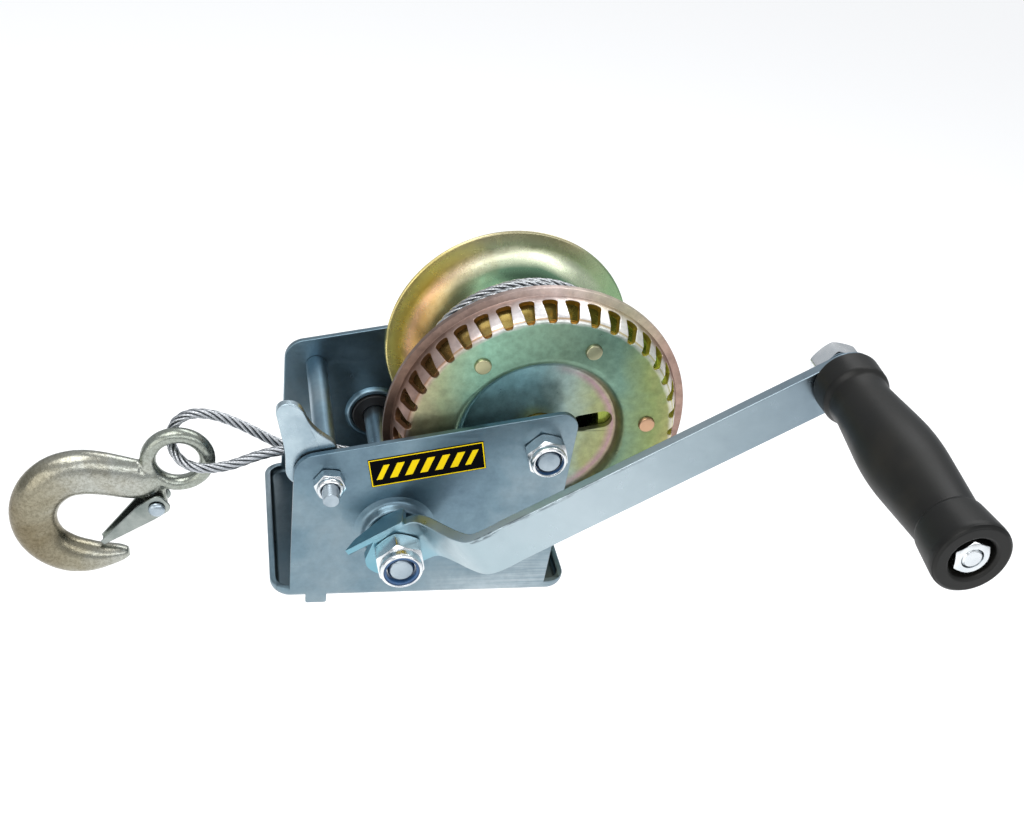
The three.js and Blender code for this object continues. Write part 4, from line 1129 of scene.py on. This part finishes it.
# ---------------------------------------------------------------- drum
def smooth_profile():
    """Middle of the gear's sheet from the recess to the rim, as rows of radius and y."""
    corners = [(10.3, -34.2), (38.0, -34.2, 2.0), (42.2, -40.2, 2.0), (63.6, -40.2, 1.6), (68.5, -27.2, 1.2),
               (RIM_OUT, -27.2)]
    return np.array([tuple(p) for p in rounded(corners, 5)])


def window_half(share):
    """Half the opening between two teeth in degrees, from its rounded root at 0 to its outer end at 1."""
    widest = 1.45 + 2.1 * min(share, 0.72)
    root = math.sqrt(max(0, 1 - (1 - min(share / 0.16, 1)) ** 2))
    end = math.sqrt(max(0, 1 - (max(share - 0.72, 0) / 0.29) ** 2))
    return 0.8 + (widest - 0.8) * min(root, end)


def make_gear():
    """Pressed gear wheel: flat face, recess, and a sloped shoulder with a window between teeth."""
    line = smooth_profile()
    lengths = np.concatenate([[0], np.cumsum(np.linalg.norm(np.diff(line, axis=0), axis=1))])
    radii = line[:, 0]
    face_at = np.interp(62.2, radii, lengths)
    end_at = np.interp(67.3, radii, lengths)
    inner = [p for p in lengths if p < face_at - 0.3]
    outer = [p for p in lengths if p > end_at + 0.2] + [lengths[-1]]
    shares = (0, 0.03, 0.07, 0.12, 0.18, 0.3, 0.42, 0.54, 0.66, 0.76, 0.84, 0.9, 0.94, 0.97, 1)
    windows = [face_at + (end_at - face_at) * share for share in shares]
    rows = sorted(set(np.round(inner + windows + outer, 4)))
    window_rows = [k for k, p in enumerate(rows) if face_at - 1e-3 <= p <= end_at + 1e-3]
    points = np.stack([np.interp(rows, lengths, line[:, 0]), np.interp(rows, lengths, line[:, 1])], 1)
    slopes = np.gradient(points, axis=0)
    slopes /= np.linalg.norm(slopes, axis=1)[:, None]
    normals = np.stack([slopes[:, 1], -slopes[:, 0]], 1)  # towards the crank
    pitch, half_sheet = 360 / GEAR_TEETH, 1.5
    window_columns, tooth_columns = 3, 4
    half_columns = window_columns + tooth_columns
    columns = list(range(-half_columns, half_columns))
    total = len(columns) * GEAR_TEETH
    low, high = window_rows[0], window_rows[-1]

    def angle_at(row, tooth, column):
        share = (min(max(row, low), high) - low) / (high - low)
        edge = window_half(share)
        size = abs(column)
        away = edge * size / window_columns if size <= window_columns else (
            edge + (pitch / 2 - edge) * (size - window_columns) / tooth_columns)
        middle = math.degrees(GEAR_PHASE) + tooth * pitch
        return math.radians(middle + math.copysign(away, column))

    front, back = [], []
    for row, (point, normal) in enumerate(zip(points, normals)):
        for tooth in range(GEAR_TEETH):
            for column in columns:
                angle = angle_at(row, tooth, column)
                for side, store in ((half_sheet, front), (-half_sheet, back)):
                    radius, y = point + normal * side
                    radius = min(radius, RIM_OUT)
                    store.append((DRUM[0] + radius * math.cos(angle), y, DRUM[1] + radius * math.sin(angle)))
    offset = len(front)

    def open_cell(row, column):
        """Whether the cell that starts at this row and column is part of a window."""
        local = columns[column % len(columns)]
        return low <= row < high and -window_columns <= local < window_columns

    faces = []
    count = len(rows)
    for row in range(count - 1):
        for column in range(total):
            if open_cell(row, column):
                continue
            a, b = row * total + column, row * total + (column + 1) % total
            c, d = (row + 1) * total + (column + 1) % total, (row + 1) * total + column
            faces.append((a, b, c, d))
            faces.append((a + offset, d + offset, c + offset, b + offset))
            if open_cell(row, column - 1):
                faces.append((a, d, d + offset, a + offset))
            if open_cell(row, (column + 1) % total):
                faces.append((b, b + offset, c + offset, c))
            if row > 0 and open_cell(row - 1, column):
                faces.append((a, a + offset, b + offset, b))
            if row + 1 < count - 1 and open_cell(row + 1, column):
                faces.append((d, c, c + offset, d + offset))
    for column in range(total):
        for row in (0, count - 1):
            a, b = row * total + column, row * total + (column + 1) % total
            faces.append((a, a + offset, b + offset, b))
    gear = make_object("gear_wheel", front + back, faces, 40)
    slot_turn = math.radians(12)
    slot = rounded([(16, -4.5, 4.49), (36, -4.5, 4.49), (36, 4.5, 4.49), (16, 4.5, 4.49)], 8)
    cutter_rings = [[(DRUM[0] + p.x * math.cos(slot_turn) - p.y * math.sin(slot_turn), y,
                      DRUM[1] + p.x * math.sin(slot_turn) + p.y * math.cos(slot_turn)) for p in slot]
                    for y in (-42, -28)]
    cut_by(gear, [make_object("gear_slot", *loft(cutter_rings))])
    softened(gear, 0.25, 2, 50)
    return done(gear, GEAR_FILM, "drum", "yellow_zinc", "gear_disc")


make_gear()


def make_rivets():
    head = GEAR_FACE - GAP
    for k in range(6):
        angle = RIVET_PHASE + k * TAU / 6
        place = (DRUM[0] + RIVET_CIRCLE * math.cos(angle), DRUM[1] + RIVET_CIRCLE * math.sin(angle))
        profile = [(0, head - 1.35), (3.7, head - 1.25, 0.5), (4.05, head + 0.2), (3, head + 0.2), (3, -36.1),
                   (4.2, -36.1), (3.6, -34.9, 0.5), (0, -34.9)]
        rivet = turned(f"rivet_{k + 1}", place, profile, 40, smooth=50)
        done(rivet, RIVET_FILM, "drum", "yellow_zinc", f"gear_rivet_{k + 1}")


make_rivets()


def make_spool():
    """The drum's pressing: near flange, hub and the wide flange that flares out like a trumpet."""
    wall, rise, reach = 2, FLARE_END - FLARE_START, FLANGE_RADIUS - HUB_RADIUS

    def flare(angle, grow):
        return (
            FLANGE_RADIUS - (reach + grow) * math.cos(angle), FLARE_START + (rise + grow) * math.sin(angle),
        )

    sweep = np.radians(np.linspace(0, 80, 22))
    lip = [
        (FLANGE_RADIUS - 0.2, FLARE_END - 0.1), (FLANGE_RADIUS + 0.55, FLARE_END + 0.3),
        (FLANGE_RADIUS + 0.85, FLARE_END + 1.0), (FLANGE_RADIUS + 0.55, FLARE_END + 1.7),
        (FLANGE_RADIUS - 0.2, FLARE_END + 2),
    ]
    near = rounded(
        [
            (45.2, -38.4, 1), (57.4, -38.4, 1.6), (61.8, -29.8, 1.5), (66.4, -24.6, 0.5), (65, -23.2, 0.5),
            (60, -28.9, 1.5), (56, -36.4, 1.6), (46.4, -36.4, 1), (42.8, -30.2, 1), (34.5, -30.2, 2),
            (HUB_RADIUS, -27.4, 0),
        ],
        4,
    )
    rings = [tuple(p) for p in near]
    rings += [flare(a, 0) for a in sweep] + lip + [flare(a, wall) for a in sweep[::-1]]
    rings += [(HUB_RADIUS - wall, -32.2), (41.4, -32.2)]
    spool = revolve("drum_pressing", DRUM, rings, 160, 40)
    return done(even_normals(spool), DRUM_FILM, "drum", "yellow_zinc", "drum_spool")


make_spool()


def winding_points():
    """The outermost layer's turns from the gear to the flare, then a last turn that crosses back."""
    random.seed(5)
    pitch, per_turn, first_y, last_y = 5.06, 192, -25.0, 29.0
    layer = WINDING_RADIUS - ROPE_RADIUS - WINDING_ROOM
    drift = [random.uniform(-0.25, 0.25) for _ in range(20)]
    crossing = (last_y - first_y) / pitch
    end = math.ceil(crossing) + 1 + (0.6 + math.pi / 2) / TAU
    places = []
    for k in range(int(end * per_turn) + 1):
        turn = k / per_turn
        y = first_y + pitch * turn + np.interp(turn, range(20), drift)
        radius = layer - min(max(0.0, y - 20.0) * 0.72, 9.5) + 0.2 * math.sin(turn * 2.3)
        if turn > crossing:
            share = (turn - crossing) / (end - crossing)
            climb = min(share / 0.2, 1)
            climb = climb * climb * (3 - 2 * climb)
            y = last_y + (ROPE_Y - last_y) * share
            radius += (layer + 3.6 - radius) * climb
        angle = 0.6 - TAU * turn
        places.append((DRUM[0] + radius * math.cos(angle), y, DRUM[1] + radius * math.sin(angle)))
    return np.array(places)


def make_winding():
    outer = tube(
        "winding_turns", winding_points(), strand_section(ROPE_RADIUS - 0.03, per_strand=5), ROPE_LAY,
    )
    uv = outer.data.uv_layers[0].name
    core_profile = [
        (HUB_RADIUS + 0.5, -27.2), (46.6, -27.2, 1.0), (46.6, 18), (38.5, 30.5, 1.0), (36, 30.5, 1.0),
        (HUB_RADIUS + 0.5, 20),
    ]
    core = turned("winding_core", DRUM, core_profile, 120)
    core.data.uv_layers.new(name=uv)
    done(core, ROPE, "drum", "wire_rope")
    return done(outer, ROPE, "drum", "wire_rope", "rope_winding")


make_winding()


# ---------------------------------------------------------------- drive
def make_pinion():
    root, tip = 11.5, 18.1
    flank = [(root, 8.6), (12.6, 7.4), (15.4, 6.2), (17.2, 4.7), (tip, 3.2)]
    outline = []
    for tooth in range(PINION_TEETH):
        middle = PINION_PHASE + tooth * TAU / PINION_TEETH
        for radius, half in [(r, -h) for r, h in flank] + [(r, h) for r, h in reversed(flank)]:
            angle = middle + math.radians(half)
            outline.append((DRIVE[0] + radius * math.cos(angle), DRIVE[1] + radius * math.sin(angle)))
    pinion = pressed("pinion_gear", [outline, circle(DRIVE, 6.3)], -46.7, -30.4, upright, 0.35)
    return done(pinion, ZINC, "drive", "zinc_sheet", "pinion")


def make_shaft():
    profile = [
        (0, -70), (6, -70), (6, -62.2), (8.4, -62.2, 0.3), (8.4, -56.9, 0.3), (6, -56.9), (6, 57.4),
        (5.2, 57.4), (5.2, 58.8), (6, 58.8), (5.2, 60.4, 0.3), (0, 60.4),
    ]
    body = turned("shaft_body", DRIVE, profile, 64)
    screw = threaded("shaft_thread", DRIVE, 6, -81.2, -66, 1.75)
    return done(
        even_normals(joined("crank_shaft", [body, screw])), SHAFT_ZINC, "drive", "bright_zinc",
        "drive_shaft",
    )


def make_clip():
    """Open retaining ring in the groove at the shaft's far end."""
    outline = []
    for angle in np.linspace(math.radians(-63), math.radians(243), 40):
        outline.append((DRIVE[0] + 9.4 * math.cos(angle), DRIVE[1] + 9.4 * math.sin(angle)))
    for angle in np.linspace(math.radians(236), math.radians(-56), 40):
        outline.append((DRIVE[0] + 5.5 * math.cos(angle), DRIVE[1] + 5.5 * math.sin(angle)))
    clip = pressed("shaft_ring", [outline], 57.7, 58.5, upright, 0.15)
    return done(clip, BRIGHT, "drive", "bright_zinc", "shaft_clip")


def arm_point(s, y, z):
    """A point given along the arm, in Y and across the arm."""
    c, sn = math.cos(ARM_ANGLE), math.sin(ARM_ANGLE)
    return (DRIVE[0] + s * c - z * sn, y, DRIVE[1] + s * sn + z * c)


def arm_edges(s):
    """Lower and upper edge of the arm at distance s from the crank shaft's axis."""
    hub = 12.2
    if s < 0:
        upper = float(np.interp(s, [-16.4, -15.5, -6], [0.5, 4, hub]))
        lower = -hub * math.sqrt(max(1 - (max(-s - 3, 0) / 13.4) ** 2, 0))
        return min(lower, upper - 0.2), upper
    share = min(max((s - 14) / 16, 0), 1)
    share = share * share * (3 - 2 * share)
    low, high = -hub + (hub - ARM_LOW) * share, hub + (ARM_HIGH - hub) * share
    if s > ARM_LENGTH:
        middle, half = (high + low) / 2, (high - low) / 2
        half *= math.sqrt(max(1 - ((s - ARM_LENGTH) / ARM_END) ** 2, 0))
        return middle - half, middle + half
    return low, high


def make_arm():
    """A flat bar, joggled near the hub, with a folded ear on the hub's upper edge."""
    hub_mid, bar_mid = HUB_FACE + ARM_THICK / 2, BAR_FACE + ARM_THICK / 2
    start, end = 11.5, 41
    middle = smooth_line(
        [
            (-20, hub_mid), (0, hub_mid), (start, hub_mid), (start + 5, hub_mid - 2),
            ((start + end) / 2, (hub_mid + bar_mid) / 2), (end - 5, bar_mid + 2), (end, bar_mid),
            (end + 12, bar_mid), (ARM_LENGTH + 15, bar_mid),
        ],
        1.2,
    )
    tip = ARM_LENGTH + ARM_END
    stations = list(
        -16.4 + 10.4 * (1 - np.cos(np.linspace(0, math.pi / 2, 10)))
    ) + list(np.linspace(-5, 56, 60))
    stations += list(np.linspace(60, ARM_LENGTH, 30)) + list(
        tip - ARM_END * (1 - np.sin(np.linspace(0, math.pi / 2, 12)[1:]))
    )
    rings, edge = [], 0.55
    for s in stations:
        y = float(np.interp(s, middle[:, 0], middle[:, 1]))
        slope = (
            np.interp(s + 0.5, middle[:, 0], middle[:, 1]) - np.interp(s - 0.5, middle[:, 0], middle[:, 1])
        )
        direction = np.array([1, slope]) / math.hypot(1, slope)
        across = np.array([-direction[1], direction[0]])
        low, high = arm_edges(min(s, tip - 0.01))
        soft = min(edge, (high - low) / 3)
        half = ARM_THICK / 2
        section = rounded([(low, -half, soft), (high, -half, soft), (high, half, soft), (low, half, soft)], 3)
        rings.append([arm_point(s + across[0] * p.y, y + across[1] * p.y, p.x) for p in section])
    bar = make_object("arm_bar", *loft(rings))
    ear = rounded(
        [
            (-20.5, HUB_FACE + 0.2, 0.5), (9.5, HUB_FACE + 0.2, 1), (11.5, -57.4, 1), (1.5, -56.4, 1.5),
            (-15, -62.6, 1),
        ],
        3,
    )
    fold = pressed("arm_ear", [ear], 10.8, 14, arm_point, 0.4)
    return done(even_normals(joined("crank_bar", [bar, fold])), ARM_ZINC, "drive", "zinc_sheet", "crank_arm")


make_pinion()
make_shaft()
make_clip()
make_arm()
make_lock_nut(
    "crank_lock_nut", DRIVE, 21, 14.4, 6, HUB_FACE - GAP, 0.3, "drive", ("crank_nut", "crank_nut_ring"),
)


def make_grip_axle():
    """Shoulder bolt that the grip turns on, its thread ending inside the grip's well."""
    end, seat = BAR_FACE - GRIP_LENGTH + 0.4, BAR_FACE + ARM_THICK + GAP
    shank = turned(
        "axle_shank", GRIP,
        [
            (0, GRIP_SHOULDER - 1), (3.5, GRIP_SHOULDER - 1), (3.5, GRIP_SHOULDER), (5, GRIP_SHOULDER, 0.3),
            (5, seat + 0.5), (0, seat + 0.5),
        ],
        48,
    )
    screw = threaded("axle_thread", GRIP, 4, end, GRIP_SHOULDER, 1.25)
    cap = revolve("axle_head", GRIP, hexagon_rings(20, seat, seat + 9.5, 0.2, 0.02), 120, 32)
    bolt = joined("grip_axle", [shank, screw, cap])
    return done(even_normals(bolt), BRIGHT, "drive", "bright_zinc", "grip_bolt")


def make_grip_nut():
    high = GRIP_SHOULDER - GAP
    nut = revolve("grip_hex_nut", GRIP, hexagon_rings(13, high, high - 8, 0.35, 4.3), 120, 32)
    return done(even_normals(nut), BRIGHT, "drive", "bright_zinc", "grip_nut")


def make_grip():
    """Moulded grip: collar, waist, swollen middle, waist, flared collar with a well."""
    start, length = BAR_FACE - 0.5, GRIP_LENGTH
    outer = [
        (14.0, 0, 0.4), (14.9, 1.0, 0.6), (14.6, 12, 0.9), (13, 14.6, 0.9), (12.7, 20, 3), (16.6, 56, 12),
        (12.9, 97.4, 0.9), (13.8, 98.2, 0.7), (14.2, 101.5, 1.5), (15.5, 114.5, 1.5),
        (15.2, length - 1.6, 0.9), (14.2, length - 0.5, 0.6), (10.0, length - 0.5, 0.4),
        (9, length - 1.5, 0.5), (9, length - 9.7), (5.4, length - 9.7), (5.4, 0),
    ]
    profile = [(radius, start - along, *rest) for radius, along, *rest in outer]
    grip = turned("grip_moulding", GRIP, profile, 96, 6, 35)
    return done(even_normals(grip), BLACK, "grip", "black_plastic", "grip")


make_grip_axle()
make_grip_nut()
make_grip()


def make_pawl():
    def at(dx, dz, reach):
        return (TIE[0] + dx, TIE[1] + dz, reach)

    outline = rounded(
        [
            at(-19.4, -2, 5), at(-19.8, 12, 6), at(-25.6, 38.4, 5.2), at(-14.2, 39.5, 6), at(-9.5, 26.5, 8),
            at(2.2, 17.5, 2), at(5.5, 6.5, 4), at(26, -2.6, 3), at(31.3, -7.6, 0.6), at(31, -10.4, 0.4),
            at(29.5, -10.6, 0.4), at(27.6, -8.2, 0.8), at(19, -7.4, 3), at(5, -9.5, 4), at(-7.5, -9, 5),
        ],
        8,
    )
    pawl = pressed("pawl_plate", [outline, circle(TIE, 4.3)], -47.5, -43.2, upright, 0.7, 3)
    return done(pawl, PAWL_ZINC, "pawl", "zinc_sheet", "pawl")


make_pawl()


# ---------------------------------------------------------------- stage
def area_light(name, place, target, size, power, color=(1, 1, 1)):
    light = bpy.data.lights.new(name, "AREA")
    light.shape, light.size, light.size_y = "RECTANGLE", size[0], size[1]
    light.energy, light.color = power, color
    obj = bpy.data.objects.new(name, light)
    facing = (Vector(target) - Vector(place)).to_track_quat("-Z", "Y")
    obj.matrix_world = Matrix.Translation(place) @ facing.to_matrix().to_4x4()
    bpy.context.scene.collection.objects.link(obj)


def make_stage():
    half, depth = 4000, -400
    floor = make_object(
        "floor", [(-half, -half, depth), (half, -half, depth), (half, half, depth), (-half, half, depth)],
        [(0, 1, 2, 3)],
    )
    s = Shade("floor paper", (0.92, 0.92, 0.92), roughness=0.9)
    s.set("Emission Color", (1, 1, 1, 1))
    s.set("Emission Strength", 0.30)
    floor.data.materials.append(s.material)
    target = (0.04, 0, 0.07)
    area_light("key", (-0.5, -0.5, 1.3), target, (0.9, 0.9), 9, (1, 0.98, 0.95))
    area_light("top", (0.5, 0.6, 1.2), target, (1.2, 0.6), 7, (1, 1, 1))
    area_light("front", (0.35, -1.5, 0.6), target, (1.8, 0.4), 6, (1, 1, 1))
    area_light("fill", (-1.1, -1.2, 0.2), target, (1.0, 0.7), 4, (1, 0.97, 0.92))
    world = bpy.data.worlds.new("studio")
    world.use_nodes = True
    tree = world.node_tree
    place = tree.nodes.new("ShaderNodeTexCoord").outputs["Generated"]
    height = tree.nodes.new("ShaderNodeSeparateXYZ")
    tree.links.new(place, height.inputs[0])
    ramp = tree.nodes.new("ShaderNodeValToRGB")
    tree.links.new(height.outputs["Z"], ramp.inputs["Fac"])
    ramp.color_ramp.elements[0].color = (0.52, 0.55, 0.58, 1)
    ramp.color_ramp.elements[0].position = 0.0
    ramp.color_ramp.elements[1].color = (0.95, 0.97, 1.0, 1)
    ramp.color_ramp.elements[1].position = 0.5
    tree.links.new(ramp.outputs["Color"], tree.nodes["Background"].inputs["Color"])
    tree.nodes["Background"].inputs["Strength"].default_value = 0.7
    bpy.context.scene.world = world
    bpy.context.scene.view_settings.view_transform = "Standard"


make_stage()
